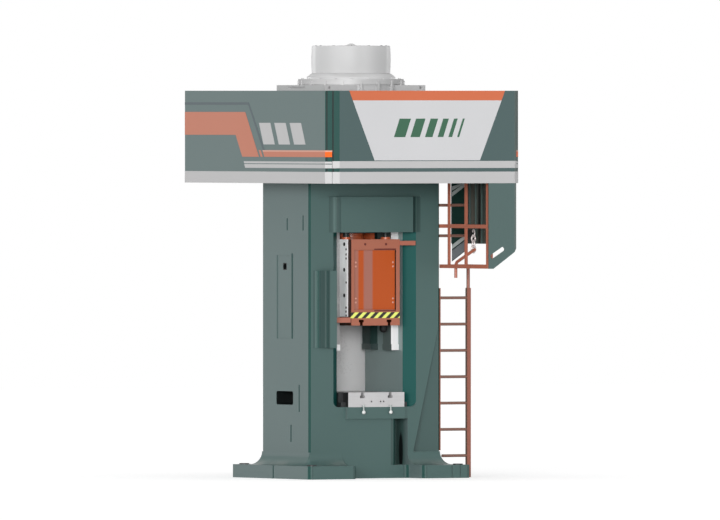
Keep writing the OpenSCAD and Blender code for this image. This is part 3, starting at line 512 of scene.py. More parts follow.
@dataclass(frozen=True)
class CastingPaint(Paint):
    """Frame casting paint, with painted shade on holes, pocket and faces, and painted light and reflection in
    the window.
    """

    # Painted black shade in the side port, the eye and the ellipse in the leg's pocket.
    dark_shade: Colour = (0.004, 0.006, 0.006)
    # Painted shade that deepens into the leg's pocket.
    pit: Colour = (0.045, 0.088, 0.081)
    # Painted dark reflection on the window's 45 degree chamfers.
    throat: Colour = (0.004, 0.074, 0.066)
    # Painted shade on the slightly tilted wedge face.
    wedge: Colour = (0.044, 0.084, 0.079)
    # Painted light on the window's side walls.
    wall: Colour = (0.180, 0.240, 0.236)
    # Painted shade on the pads and on the steps by the header.
    shade: Colour = (0.026, 0.060, 0.056)
    pad: tuple[Span, ...] = ((0.640, 0.755), (-0.720, -0.527), (1.488, 2.367))
    header: tuple[Span, ...] = ((0.470, 0.560), (-0.620, -0.527), (2.800, 3.203))
    port: tuple[Span, ...] = ((0.600, 0.865), (-0.175, 0.215), (0.830, 1.000))
    eye: tuple[Span, ...] = ((0.600, 0.865), (-0.012, 0.068), (2.371, 2.451))
    pocket: tuple[Span, ...] = ((0.240, 0.440), (-0.523, -0.150), (0.152, 0.670))
    pocket_rise: Span = (-0.520, -0.400)
    hollow_middle: Span = (-0.376, 0.310)
    hollow_reach: Span = (0.046, 0.205)
    hollow_edge: Span = (0.6, 1.3)
    window: tuple[Span, ...] = ((0.430, 0.560), (-0.540, 0.540), (0.800, 2.810))
    throat_slant: Span = (0.45, 0.55)
    wall_nx: float = 0.9
    wedge_nx: Span = (0.02, 0.26)
    wedge_ny: float = 0.93
    step_nx: float = 0.5

    def over(self, net: Net) -> Layers:
        """Returns painted shade and light in boxes, where |x|, y and z lie between two limits, and on
        facings.

        The throat is the window's 45 degree faces, which take a painted dark reflection; the window's side
        walls take painted light. The wedge's face is upright and turned out of the front's plane by a few
        degrees, so |nx| is small but not 0, and it takes painted shade, as do the pads, the steps by the
        header, the side port and the eye. The leg's pocket takes painted shade that deepens with depth, and
        in it painted black shade fills the ellipse where ((y - yc) / a)^2 + ((z - zc) / b)^2 is below 1.
        """
        x, y, z = net.axes(net.place())
        place = net.calc("ABSOLUTE", x), y, z
        nx, ny = (net.calc("ABSOLUTE", value) for value in net.axes(net.normal())[:2])

        def inside(box: Sequence[Span]) -> Input:
            """Returns 1 inside the box."""
            return net.product(*(net.within(value, *span) for value, span in zip(place, box)))

        window = inside(self.window)
        throat = net.product(net.within(net.product(nx, ny), *self.throat_slant), window)
        walls = net.product(window, net.calc("GREATER_THAN", nx, self.wall_nx))
        slanted = net.product(net.within(nx, *self.wedge_nx), net.calc("GREATER_THAN", ny, self.wedge_ny))
        steps = net.product(inside(self.header), net.calc("GREATER_THAN", nx, self.step_nx))
        pocket = net.product(inside(self.pocket), net.fade(y, *self.pocket_rise))
        reach = net.ellipse(place[1:], self.hollow_middle, self.hollow_reach)
        hollow = net.product(pocket, net.calc("SUBTRACT", 1.0, net.fade(reach, *self.hollow_edge)))
        return ((throat, self.throat), (walls, self.wall), (slanted, self.wedge),
                (net.calc("MAXIMUM", inside(self.pad), steps), self.shade),
                (pocket, self.pit), (hollow, self.dark_shade),
                (net.calc("MAXIMUM", inside(self.port), inside(self.eye)), self.dark_shade))


@dataclass(frozen=True)
class BarrelPaint(Paint):
    """Smooth metallic paint of the motor, with a painted reflection: a darker band and bright rim at its
    flanks.
    """

    lift: float = 0.85
    dip: float = -0.34
    dip_rise: Span = (0.30, 0.80)
    rim: float = 0.50
    rim_rise: Span = (0.86, 0.94)
    across: Triple = (0.857, -0.515, 0.0)

    def surface(self, net: Net) -> dict[str, Input]:
        """Adds the painted reflection, from the normal's share s along one level axis.

        The tone rises with the square of s, dips smoothly towards s = 0.8 and is bright above s = 0.9.
        """
        share = net.add("VectorMath", {0: net.normal(), 1: self.across}, operation="DOT_PRODUCT")
        along = net.calc("ABSOLUTE", share.outputs["Value"])
        value = net.calc("MULTIPLY_ADD", net.calc("POWER", along, 2.0), self.lift, 1.0)
        for rise, gain in ((self.dip_rise, self.dip), (self.rim_rise, self.rim)):
            value = net.calc("MULTIPLY_ADD", net.fade(along, *rise), gain, value)
        return self.coat(net, net.tint(rgba(self.colour), value))


@dataclass(frozen=True)
class CoverPaint(Paint):
    """Gloss paint of the slide's cover, with soft upright paler bands of painted reflection."""

    band: Colour = (0.370, 0.150, 0.112)
    bands: tuple[Span, ...] = ((-0.330, -0.214), (-0.142, -0.026))
    soft: float = 0.014

    def under(self, net: Net) -> Layers:
        """Returns the painted reflection bands: each is a smooth rise along X less the smooth rise at its
        other edge.
        """
        x = net.axes(net.place())[0]
        rises = [[net.fade(x, edge - self.soft, edge + self.soft) for edge in edges] for edges in self.bands]
        return [(net.calc("SUBTRACT", *pair), self.band) for pair in rises]


@dataclass(frozen=True)
class SlidePaint(Paint):
    """Paint of the slide, with painted shade along its left edge, where it runs past the guide."""

    edge: Colour = (0.030, 0.006, 0.001)
    edge_x: float = -0.3165

    def over(self, net: Net) -> Layers:
        """Returns the painted shade: everything to the left of one X."""
        return [(net.calc("LESS_THAN", net.axes(net.place())[0], self.edge_x), self.edge)]


@dataclass(frozen=True)
class InsideDarkPaint(Paint):
    """Sheet paint with painted shade on the side that looks into the cage, and lighter upright streaks."""

    dark_shade: Colour = (0.016, 0.028, 0.024)
    streak: Colour = (0.060, 0.068, 0.056)
    streak_rise: Span = (0.35, 0.65)
    stretch: Triple = (1.0, 30.0, 0.6)
    inward_nx: float = -0.9

    def over(self, net: Net) -> Layers:
        """Returns painted shade where nx is low, with streaks from noise that is stretched along Z."""
        inward = net.calc("LESS_THAN", net.axes(net.normal())[0], self.inward_nx)
        mask = net.fade(net.noise(net.stretched(self.stretch), 1.0, 3.0), *self.streak_rise)
        return [(inward, net.blend(mask, rgba(self.dark_shade), rgba(self.streak)))]


@dataclass(frozen=True)
class StripePaint(Paint):
    """Orange stripes, with a thin paler line along the narrow run's upper edge."""

    pale: Colour = (0.620, 0.330, 0.260)
    line_z: Span = (3.718, 3.737)
    front_of: float = -0.150

    def over(self, net: Net) -> Layers:
        """Returns the line: Z lies between its limits and Y is in front of the diagonal."""
        _, y, z = net.axes(net.place())
        front = net.calc("LESS_THAN", y, self.front_of)
        return [(net.product(net.within(z, *self.line_z), front), self.pale)]


@dataclass(frozen=True)
class ClampPaint(Paint):
    """White ball grips on grey stems."""

    stem: Colour = (0.380, 0.420, 0.410)
    ball_top: float = 0.775

    def under(self, net: Net) -> Layers:
        """Returns the stems: everything above the ball's top is grey."""
        return [(net.calc("GREATER_THAN", net.axes(net.place())[2], self.ball_top), self.stem)]


# Finishes, with colours in linear light. Those that pieces or other finishes use have names.

# GREEN_DEEP is a painted dark reflection on 45 degree corners and GREEN_FLANK a painted sheen on side faces.
# STEEL_FLANK is the green paint on the guide rails' flanks.
GREEN_DEEP: Colour = (0.012, 0.060, 0.051)
GREEN_FLANK: Colour = (0.112, 0.158, 0.155)
STEEL_FLANK: Colour = (0.090, 0.125, 0.120)
STRIPE_SHADE = Paint("stripe_shade", "sheet_paint", (0.072, 0.098, 0.108), 0.36)
SEAM_DARK = Paint("seam_dark", "sheet_paint", (0.006, 0.018, 0.016), 0.5, dust=0.0, gloss=0.2)
PALE_GREY = Paint("pale_grey", "pale_paint", (0.475, 0.472, 0.474), 0.40)
PEDESTAL_GREY = Paint("pedestal_grey", "motor_paint", (0.500, 0.498, 0.500), 0.40)
BALL_WHITE = ClampPaint("ball_white", "pale_paint", (0.700, 0.710, 0.700), 0.25)
RAIL_STEEL = GroundSteel("rail_steel", "machined_steel", (0.86, 0.85, 0.855), 0.34, metallic=0.2,
                         flank=STEEL_FLANK)
SCREW_STEEL = TurnedMetal("screw_steel", "machined_steel", (0.40, 0.40, 0.41), 0.30)
SCREEN_DARK = Paint("screen_dark", "sheet_paint", (0.005, 0.026, 0.020), 0.5, dust=0.0, gloss=0.2)
BLACK_OXIDE = Paint("black_oxide", "dark_steel", (0.006, 0.006, 0.007), 0.4, dust=0.0)
BLACK_RUBBER = Paint("black_rubber", "dark_steel", (0.004, 0.004, 0.004), 0.6, dust=0.0, gloss=0.3)
DARK_RED = Paint("screw_red", "orange_paint", (0.110, 0.012, 0.008), 0.35, dust=0.0)
PALE_PINK = Paint("screw_pale", "orange_paint", (0.620, 0.300, 0.230), 0.35, dust=0.0)
SLAT_GREY = GroundSteel("slat_grey", "pale_paint", (0.360, 0.400, 0.390), 0.40, metallic=0.2)
SLAT_DARK = GroundSteel("slat_dark", "pale_paint", (0.130, 0.150, 0.160), 0.45, metallic=0.2)
CHAIN_ZINC = GroundSteel("chain_zinc", "pale_paint", (0.620, 0.560, 0.550), 0.35, metallic=0.4)

NODE_FINISH: dict[Finish, tuple[str, ...]] = {
    # The frame's and the sheets' deep and flank colours are painted reflection and painted sheen.
    CastingPaint("frame_green", "frame_paint", (0.064, 0.118, 0.111), 0.42, deep=GREEN_DEEP,
                 flank=GREEN_FLANK, bump=0.2, gloss=0.4):
        ("frame_casting",),
    Paint("sheet_green", "sheet_paint", (0.062, 0.102, 0.101), 0.36, deep=GREEN_DEEP, flank=GREEN_FLANK,
          gloss=0.4):
        ("fascia_front", "fascia_rear", "fascia_left", "fascia_right"),
    # The shield's deep colour is a painted dark reflection on its 45 degree corners.
    Paint("shield_green", "sheet_paint", (0.064, 0.110, 0.104), 0.38, deep=(0.030, 0.080, 0.070)):
        ("shield_front",),
    # The side shield's faces that look into the cage carry painted shade, with lighter upright streaks.
    InsideDarkPaint("cage_green", "sheet_paint", (0.064, 0.110, 0.104), 0.38): ("shield_side",),
    Paint("beam_green", "sheet_paint", (0.050, 0.100, 0.094), 0.5): ("platform_beams",),
    Paint("sign_orange", "orange_paint", (0.580, 0.150, 0.068), 0.38, gloss=0.3): ("sign_cap_band",),
    # The stripes' deep colour is a painted reflection, brighter on the 45 degree corners, and their flank
    # colour a painted sheen on side faces.
    StripePaint("stripe_orange", "orange_paint", (0.640, 0.155, 0.066), 0.38, deep=(0.80, 0.130, 0.015),
                flank=(0.500, 0.190, 0.125), gloss=0.3):
        ("side_stripes",),
    # The slide's flank colour and its dark left edge are painted shade on its side faces.
    SlidePaint("slide_orange", "orange_paint", (0.385, 0.135, 0.085), 0.36, gloss=0.25,
               flank=(0.030, 0.006, 0.001)):
        ("slide_body", "slide_bottom_plate"),
    Paint("arm_orange", "orange_paint", (0.400, 0.135, 0.090), 0.36): ("slide_arm_left", "slide_arm_right"),
    Paint("ring_orange", "orange_paint", (0.500, 0.110, 0.040), 0.34): ("nut_ring", "balance_lugs"),
    # The cover's paler upright bands are a painted reflection.
    CoverPaint("panel_orange", "orange_paint", (0.470, 0.085, 0.016), 0.26, gloss=0.2):
        ("slide_cover_panel",),
    # The ladder's flank colour is painted shade on its side faces.
    Paint("ladder_orange", "orange_paint", (0.270, 0.092, 0.060), 0.42, flank=(0.120, 0.070, 0.050)):
        ("ladder_stile", "ladder_wall_bar"),
    # The rungs are painted darker and browner than the cage's orange, as painted shade.
    Paint("rung_orange_shaded", "orange_paint", (0.200, 0.098, 0.072), 0.42): ("ladder_rungs", "cage_rungs"),
    Paint("cage_orange", "orange_paint", (0.400, 0.130, 0.080), 0.42):
        ("cage_posts", "cage_rails", "grab_tube"),
    PALE_GREY: ("base_strip", "pale_bands"),
    Paint("sheet_grey", "pale_paint", (0.760, 0.757, 0.760), 0.30, gloss=0.6): ("rear_guard_sheet",),
    SignPaint("sign_white", "pale_paint", (0.570, 0.572, 0.584), 0.34): ("sign_panel",),
    PEDESTAL_GREY: ("motor_pedestal",),
    # The motor's lighter and darker bands are a painted reflection.
    BarrelPaint("motor_grey", "motor_paint", (0.500, 0.500, 0.502), 0.42, gloss=0.3):
        ("motor_base_ring", "stator_housing", "motor_top_cover"),
    BALL_WHITE: ("bolster_clamps",),
    HazardPaint("hazard_stripes", "hazard", (0.800, 0.850, 0.180), 0.40, dust=0.0): ("hazard_strip",),
    RAIL_STEEL: ("guide_rail_front_right",),
    replace(RAIL_STEEL, name="stop_steel", rear=(0.040, 0.064, 0.062)): ("guide_stops",),
    GroundSteel("rail_shade", "machined_steel", (0.34, 0.34, 0.34), 0.40, metallic=0.3, flank=STEEL_FLANK):
        ("guide_rail_front_left",),
    GroundSteel("rail_rear", "machined_steel", (0.010, 0.036, 0.032), 0.45, metallic=0.2):
        ("guide_rail_rear_left", "guide_rail_rear_right"),
    GroundSteel("liner_steel", "machined_steel", (0.88, 0.88, 0.885), 0.36, metallic=0.1):
        ("slide_liners",),
    # The bolster's flank colour is painted shade: its end faces are near black.
    GroundSteel("bolster_steel", "machined_steel", (0.54, 0.535, 0.54), 0.36, grain=Grain.ACROSS,
                metallic=0.3, flank=(0.012, 0.013, 0.013), flank_from=0.30):
        ("bolster_plate",),
    SCREW_STEEL: ("main_screw", "rotor"),
    TurnedMetal("pin_steel", "machined_steel", (0.60, 0.60, 0.61), 0.25): ("ejector_pin",),
    # The balance rods are painted near black, as painted shade over what would be bright steel.
    Paint("rod_dark", "dark_steel", (0.018, 0.026, 0.024), 0.35, dust=0.0, gloss=0.2): ("balance_rods",),
    TurnedMetal("bearing_bronze", "bronze", (0.55, 0.33, 0.12), 0.32):
        ("thrust_bearing", "screw_bush", "slide_nut"),
    TurnedMetal("stator_laminate", "bronze", (0.35, 0.20, 0.12), 0.45, contrast=0.6): ("stator_core",),
    Paint("dark_iron", "dark_steel", (0.020, 0.021, 0.022), 0.5, dust=0.1):
        ("anchor_washers", "bolster_side_pads", "ejector_cylinder", "rod_seals", "bearing_cover",
         "junction_box"),
    TreadPlate("floor_steel", "floor_plate", (0.230, 0.240, 0.250), 0.45):
        ("platform_floor_front", "platform_floor_rear", "platform_floor_left", "platform_floor_right"),
}


def dress_nodes() -> None:
    """Gives every solid node its finish, without touching its mesh."""
    for finish, names in NODE_FINISH.items():
        for name in names:
            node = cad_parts[name]
            node.data.materials.clear()
            node.data.materials.append(finish.material())
            LOG.info("node %s takes %s", name, finish.name)
    left = set(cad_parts) - {name for names in NODE_FINISH.values() for name in names}
    if left:
        raise ValueError(f"nodes without a finish: {sorted(left)}")


# Surfaces worked out on grids


def grid_faces(rows: int, columns: int) -> np.ndarray:
    """Returns the four corners of every cell of a grid of points, whose last column joins the first.

    Args:
        rows: points along the first parameter.
        columns: points along the second parameter.

    Returns:
        An array of cells by four point numbers.
    """
    row, column = np.meshgrid(np.arange(rows - 1), np.arange(columns), indexing="ij")
    here, below, right = row * columns, (row + 1) * columns, (column + 1) % columns
    return np.stack([here + column, here + right, below + right, below + column], axis=-1).reshape(-1, 4)


def join(parts: Sequence[Mesh]) -> Mesh:
    """Puts several meshes of four-cornered faces into one."""
    starts = np.cumsum([0] + [len(points) for points, _ in parts[:-1]])
    faces = np.concatenate([face + start for (_, face), start in zip(parts, starts)])
    return np.concatenate([points for points, _ in parts]), faces


def repeat(mesh: Mesh, places: np.ndarray) -> Mesh:
    """Copies a mesh to many places at once: every point is added to every place."""
    points, faces = mesh
    moved = (places[:, None, :] + points[None, :, :]).reshape(-1, 3)
    steps = np.arange(len(places))[:, None, None] * len(points)
    return moved, (faces[None] + steps).reshape(-1, 4)


def turn_to(points: np.ndarray, direction: Sequence[float]) -> np.ndarray:
    """Turns points so that their Z axis looks along a direction.

    The new axes are the direction, its cross product with a helper axis, and theirs.
    """
    ahead = np.array(direction, float) / np.linalg.norm(direction)
    helper = np.array((0.0, 0.0, 1.0)) if abs(ahead[2]) < 0.9 else np.array((1.0, 0.0, 0.0))
    side = np.cross(helper, ahead)
    side /= np.linalg.norm(side)
    return points @ np.stack([side, np.cross(ahead, side), ahead])


def lathe(profile: Sequence[Span], sides: int) -> Mesh:
    """Turns a profile round Z: a point (r, z) goes to (r cos t, r sin t, z) at each side's angle t.

    Args:
        profile: radius and height, from the lowest point on the axis side to the highest.
        sides: points round the axis.

    Returns:
        A closed mesh, if the profile starts and ends at radius 0.
    """
    shape = np.array(profile, float)
    angle = np.linspace(0.0, 2 * math.pi, sides, endpoint=False)
    points = np.stack([shape[:, :1] * np.cos(angle), shape[:, :1] * np.sin(angle),
                       np.repeat(shape[:, 1:], sides, axis=1)], axis=-1)
    return points.reshape(-1, 3), grid_faces(len(shape), sides)


def prism(outline: Sequence[Span], low: float, high: float, axis: int) -> Mesh:
    """Pushes a four-cornered outline along one axis, from low to high.

    Args:
        outline: four corners in the plane of the two other axes.
        low: where the prism starts.
        high: where it ends.
        axis: 0 for X, 1 for Y or 2 for Z.

    Returns:
        A closed box-like mesh.
    """
    flat = np.array(outline, float)
    ends = [np.insert(flat, axis, value, axis=1) for value in (low, high)]
    sides = grid_faces(2, 4)
    return np.concatenate(ends), np.concatenate([sides, [[3, 2, 1, 0], [4, 5, 6, 7]]])


def oblong(across: Span, up: Span) -> list[Span]:
    """Returns the four corners between two limits on each axis."""
    return [(across[0], up[0]), (across[1], up[0]), (across[1], up[1]), (across[0], up[1])]


def tube(path: np.ndarray, radius: float, sides: int = 14) -> Mesh:
    """Carries a circle along a path.

    Each ring lies across the path's direction there: its axes are the direction's cross product with a
    helper axis, and the cross product of both. The ends are closed by rings of radius 0.
    """
    ahead = np.gradient(path, axis=0)
    ahead /= np.linalg.norm(ahead, axis=1, keepdims=True)
    side = np.cross(ahead, (0.31, 0.22, 0.92))
    side /= np.linalg.norm(side, axis=1, keepdims=True)
    rise = np.cross(ahead, side)
    angle = np.linspace(0.0, 2 * math.pi, sides, endpoint=False)
    rings = (path[:, None, :] + radius * (np.cos(angle)[None, :, None] * side[:, None, :]
                                          + np.sin(angle)[None, :, None] * rise[:, None, :]))
    closed = np.concatenate([np.repeat(path[:1, None, :], sides, axis=1), rings,
                             np.repeat(path[-1:, None, :], sides, axis=1)])
    return closed.reshape(-1, 3), grid_faces(len(closed), sides)


def arc(radius: float, height: float, start: float, end: float, count: int,
        rise: Optional[float] = None) -> list[Span]:
    """Returns points of a quarter round or less, as radii and heights for a profile.

    Args:
        radius: the arc's radius, in metres.
        height: where its middle lies on the axis.
        start: the first point's angle above level, in radians.
        end: the last point's angle.
        count: the number of points.
        rise: the half height of an ellipse, where that differs from the radius.

    Returns:
        Points (radius cos a, height + rise sin a).
    """
    rise = radius if rise is None else rise
    return [(radius * math.cos(a), height + rise * math.sin(a)) for a in np.linspace(start, end, count)]


def put(name: str, data: bpy.types.ID) -> bpy.types.Object:
    """Links a new object at the origin and returns it."""
    made = bpy.data.objects.new(name, data)
    bpy.context.scene.collection.objects.link(made)
    return made


def add_piece(name: str, mesh: Mesh, finish: Finish, body: str = "frame", smooth_below: float = 35.0,
              bevel: float = 0.0) -> bpy.types.Object:
    """Puts a mesh into the scene, dresses it and seats it on a body.

    Args:
        name: the piece's name.
        mesh: its points, in metres, and faces.
        finish: what it is made of.
        body: the solid model's body that it moves with.
        smooth_below: edges with a smaller angle, in degrees, are shaded smooth.
        bevel: width of the rounded edges, in metres.

    Returns:
        The new object.
    """
    points, faces = mesh
    data = bpy.data.meshes.new(name)
    data.vertices.add(len(points))
    data.vertices.foreach_set("co", points.astype(np.float32).ravel())
    data.loops.add(faces.size)
    data.loops.foreach_set("vertex_index", faces.astype(np.int32).ravel())
    data.polygons.add(len(faces))
    data.polygons.foreach_set("loop_start", np.arange(0, faces.size, 4, dtype=np.int32))
    data.update(calc_edges=True)
    data.validate()
    tidy_mesh(data)
    data.materials.append(finish.material())
    piece = put(name, data)
    data.shade_smooth()
    data.set_sharp_from_angle(angle=math.radians(smooth_below))
    if bevel:
        edge = piece.modifiers.new("edge", "BEVEL")
        edge.width = bevel
        edge.segments = 2
        edge.limit_method = "ANGLE"
    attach(piece, body)
    LOG.info("piece %s: %d faces, on %s", name, len(data.polygons), body)
    return piece


def tidy_mesh(data: bpy.types.Mesh) -> None:
    """Merges doubled points, drops faces without area and turns all faces outwards."""
    work = bmesh.new()
    work.from_mesh(data)
    bmesh.ops.remove_doubles(work, verts=work.verts, dist=1e-6)
    bmesh.ops.dissolve_degenerate(work, edges=work.edges, dist=1e-7)
    bmesh.ops.recalc_face_normals(work, faces=work.faces)
    work.to_mesh(data)
    work.free()


# Fasteners


class Head(Enum):
    """Shape of a fastener's head."""

    HEX = "hex"
    SOCKET = "socket"
    DOME = "dome"


def head_mesh(head: Head, radius: float, height: float) -> Mesh:
    """Returns one head that stands on z = 0.

    A hex head is a six-sided lathe with a chamfered rim, a socket head has a round pit in its top,
    and a dome's profile is a quarter ellipse.
    """
    if head is Head.HEX:
        rim = [(0, 0), (radius, 0), (radius, height * 0.82), (radius * 0.9, height), (0, height)]
        return join([lathe(rim, 6), lathe([(0, height * 0.2), (radius * 1.3, height * 0.2),
                                           (radius * 1.3, 0), (0, 0)], 20)])
    if head is Head.DOME:
        return lathe([(0, 0), *arc(radius, 0.0, 0.0, math.pi / 2, 6, height)], 14)
    pit = radius * 0.45
    return lathe([(0, 0), (radius, 0), (radius, height * 0.75), (radius * 0.9, height), (pit, height),
                  (pit, height * 0.35), (0, height * 0.35)], 18)


def fasten(name: str, head: Head, radius: float, height: float, places: Sequence[Sequence[float]],
           direction: Sequence[float], finish: Finish, body: str = "frame") -> None:
    """Adds one piece that holds a head at every place.

    Args:
        name: the piece's name.
        head: the head's shape.
        radius: its radius, in metres.
        height: its height, in metres.
        places: the points where the heads stand, in metres.
        direction: the way that the heads look.
        finish: what they are made of.
        body: the body that they ride on.
    """
    points, faces = head_mesh(head, radius, height)
    add_piece(name, repeat((turn_to(points, direction), faces), np.array(places, float)), finish, body)


def box_of(*nodes: str) -> tuple[np.ndarray, np.ndarray]:
    """Returns the lowest and the highest corner of some solid nodes together."""
    corners = np.array([[list(corner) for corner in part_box(node)] for node in nodes])
    return corners[:, 0].min(axis=0), corners[:, 1].max(axis=0)


# Sub-assemblies


@dataclass
class Screw:
    """Main screw with its multi-start thread, in place of the plain shaft."""

    crest: float = 0.120
    depth: float = 0.009
    lead: float = 0.300
    starts: int = 6
    collar: float = 0.235
    collar_low: float = 2.840
    collar_edge: float = 0.004
    bearing_gap: float = 0.0003
    journal: float = 0.150
    tip: float = 0.0997
    tip_edge: float = 0.006
    sides: int = 120
    rows: int = 420
    flank: float = 1.3
    fade: float = 0.04

    def thread(self, foot: float, top: float) -> Mesh:
        """Returns the threaded length.

        The radius at angle t and height z is the crest less the groove's depth times a clipped wave of
        starts * (z / lead - t / turn), so each start climbs one lead in a turn. The ends fade to plain.
        """
        height = np.linspace(foot, top, self.rows)[:, None]
        angle = np.linspace(0.0, 2 * math.pi, self.sides, endpoint=False)[None, :]
        phase = self.starts * (height / self.lead - angle / (2 * math.pi))
        groove = np.clip(0.5 - self.flank * np.cos(2 * math.pi * phase), 0.0, 1.0)
        ends = np.clip(np.minimum(height - foot, top - height) / self.fade, 0.0, 1.0)
        radius = self.crest - self.depth * groove * ends
        points = np.stack([radius * np.cos(angle), radius * np.sin(angle),
                           np.broadcast_to(height, radius.shape)], axis=-1)
        cap = np.zeros((1, self.sides, 3))
        cap[..., 2] = foot
        closed = np.concatenate([cap, points])
        return closed.reshape(-1, 3), grid_faces(len(closed), self.sides)

    def build(self) -> None:
        """Builds the thread and the plain stretch above it as one closed shaft."""
        low, high = box_of("main_screw")
        bush_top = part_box("screw_bush")[1][2]
        collar_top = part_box("thrust_bearing")[0][2] - self.bearing_gap
        rotor_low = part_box("rotor")[0][2]
        foot, edge = self.collar_low, self.collar_edge
        upper = lathe([(self.crest, foot), (self.collar - edge, foot), (self.collar, foot + edge),
                       (self.collar, collar_top - edge), (self.collar - edge, collar_top),
                       (self.journal, collar_top), (self.journal, bush_top), (self.crest, bush_top),
                       (self.crest, rotor_low), (self.tip, rotor_low), (self.tip, high[2] - self.tip_edge),
                       (self.tip - self.tip_edge, high[2]), (0, high[2])], self.sides)
        shaft = join([self.thread(low[2], foot), upper])
        piece = add_piece("threaded_screw", shaft, SCREW_STEEL, "screw")
        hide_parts("main_screw")


@dataclass
class SlideFittings:
    """Screws on the slide's liners, front strip and cover, and painted shadow lines. A head has a radius and
    a height.
    """

    big_head: Span = (0.022, 0.003)
    small_head: Span = (0.013, 0.003)
    strip_head: Span = (0.014, 0.003)
    cover_head: Span = (0.012, 0.006)
    big_y: float = 0.419
    big_z: tuple[float, ...] = (2.664, 2.373, 2.081)
    small_y: float = 0.461
    small_z: tuple[float, ...] = (2.605, 2.548, 2.502, 2.229, 1.944, 1.898, 1.853)
    strip_x: tuple[float, ...] = (-0.133, 0.144)
    strip_z: float = 2.663
    cover_x: float = 0.247
    cover_z: tuple[float, ...] = (2.457, 2.411, 2.046, 2.001)
    shadow_line_x: Span = (-0.012, 0.275)
    shadow_line_z: Span = (1.899, 2.600)
    shadow_line_high: float = 0.014
    shadow_line_out: float = 0.0006
    shadow_line_in: float = 0.001

    def build(self) -> None:
        """Builds every screw of the slide and its painted shadow lines."""
        low, high = box_of("slide_liners")
        for side, x in (("left", low[0]), ("right", high[0])):
            for size, y, heights, head in (("large", self.big_y, self.big_z, self.big_head),
                                           ("small", self.small_y, self.small_z, self.small_head)):
                places = [(x, sign * y, z) for sign in (-1, 1) for z in heights]
                fasten(f"liner_screws_{size}_{side}", Head.SOCKET, *head, places,
                       (1 if x > 0 else -1, 0, 0), BLACK_OXIDE, "slide")
        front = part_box("slide_body")[0][1]
        fasten("slide_strip_screws", Head.SOCKET, *self.strip_head,
               [(x, front, self.strip_z) for x in self.strip_x], (0, -1, 0), DARK_RED, "slide")
        # Dark strips along the cover's top and bottom edges are painted shadow lines.
        shadow_lines = [prism(oblong(self.shadow_line_x, (z, z + self.shadow_line_high)), front - self.shadow_line_out,
                       front + self.shadow_line_in, 1) for z in self.shadow_line_z]
        add_piece("slide_shadow_lines", join(shadow_lines), DARK_RED, "slide")
        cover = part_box("slide_cover_panel")[0][1]
        fasten("slide_cover_screws", Head.DOME, *self.cover_head,
               [(sign * self.cover_x, cover, z) for sign in (-1, 1) for z in self.cover_z],
               (0, -1, 0), PALE_PINK, "slide")


@dataclass
class MotorFittings:
    """Bolts of the motor's pedestal and top cover. A head has a radius and a height."""

    flange_head: Span = (0.013, 0.011)
    cover_head: Span = (0.009, 0.004)
    flange_bolts: int = 18
    flange_ring: float = 0.560
    flange_z: float = 4.543
    cover_bolts: int = 12
    cover_ring: float = 0.400
    cover_rim: float = 0.0062

    def ring(self, radius: float, height: float, count: int) -> np.ndarray:
        """Returns count points on a level circle."""
        angle = np.arange(count) * 2 * math.pi / count
        return np.stack([radius * np.cos(angle), radius * np.sin(angle), np.full(count, height)], axis=1)

    def build(self) -> None:
        """Builds the bolts of the pedestal's flange and of the top cover."""
        flange = self.ring(self.flange_ring, self.flange_z, self.flange_bolts)
        fasten("pedestal_flange_bolts", Head.HEX, *self.flange_head, flange, (0, 0, 1), PEDESTAL_GREY)
        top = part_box("motor_top_cover")[0][2] + self.cover_rim
        cover = self.ring(self.cover_ring, top, self.cover_bolts)
        fasten("top_cover_bolts", Head.SOCKET, *self.cover_head, cover, (0, 0, 1), BLACK_OXIDE)


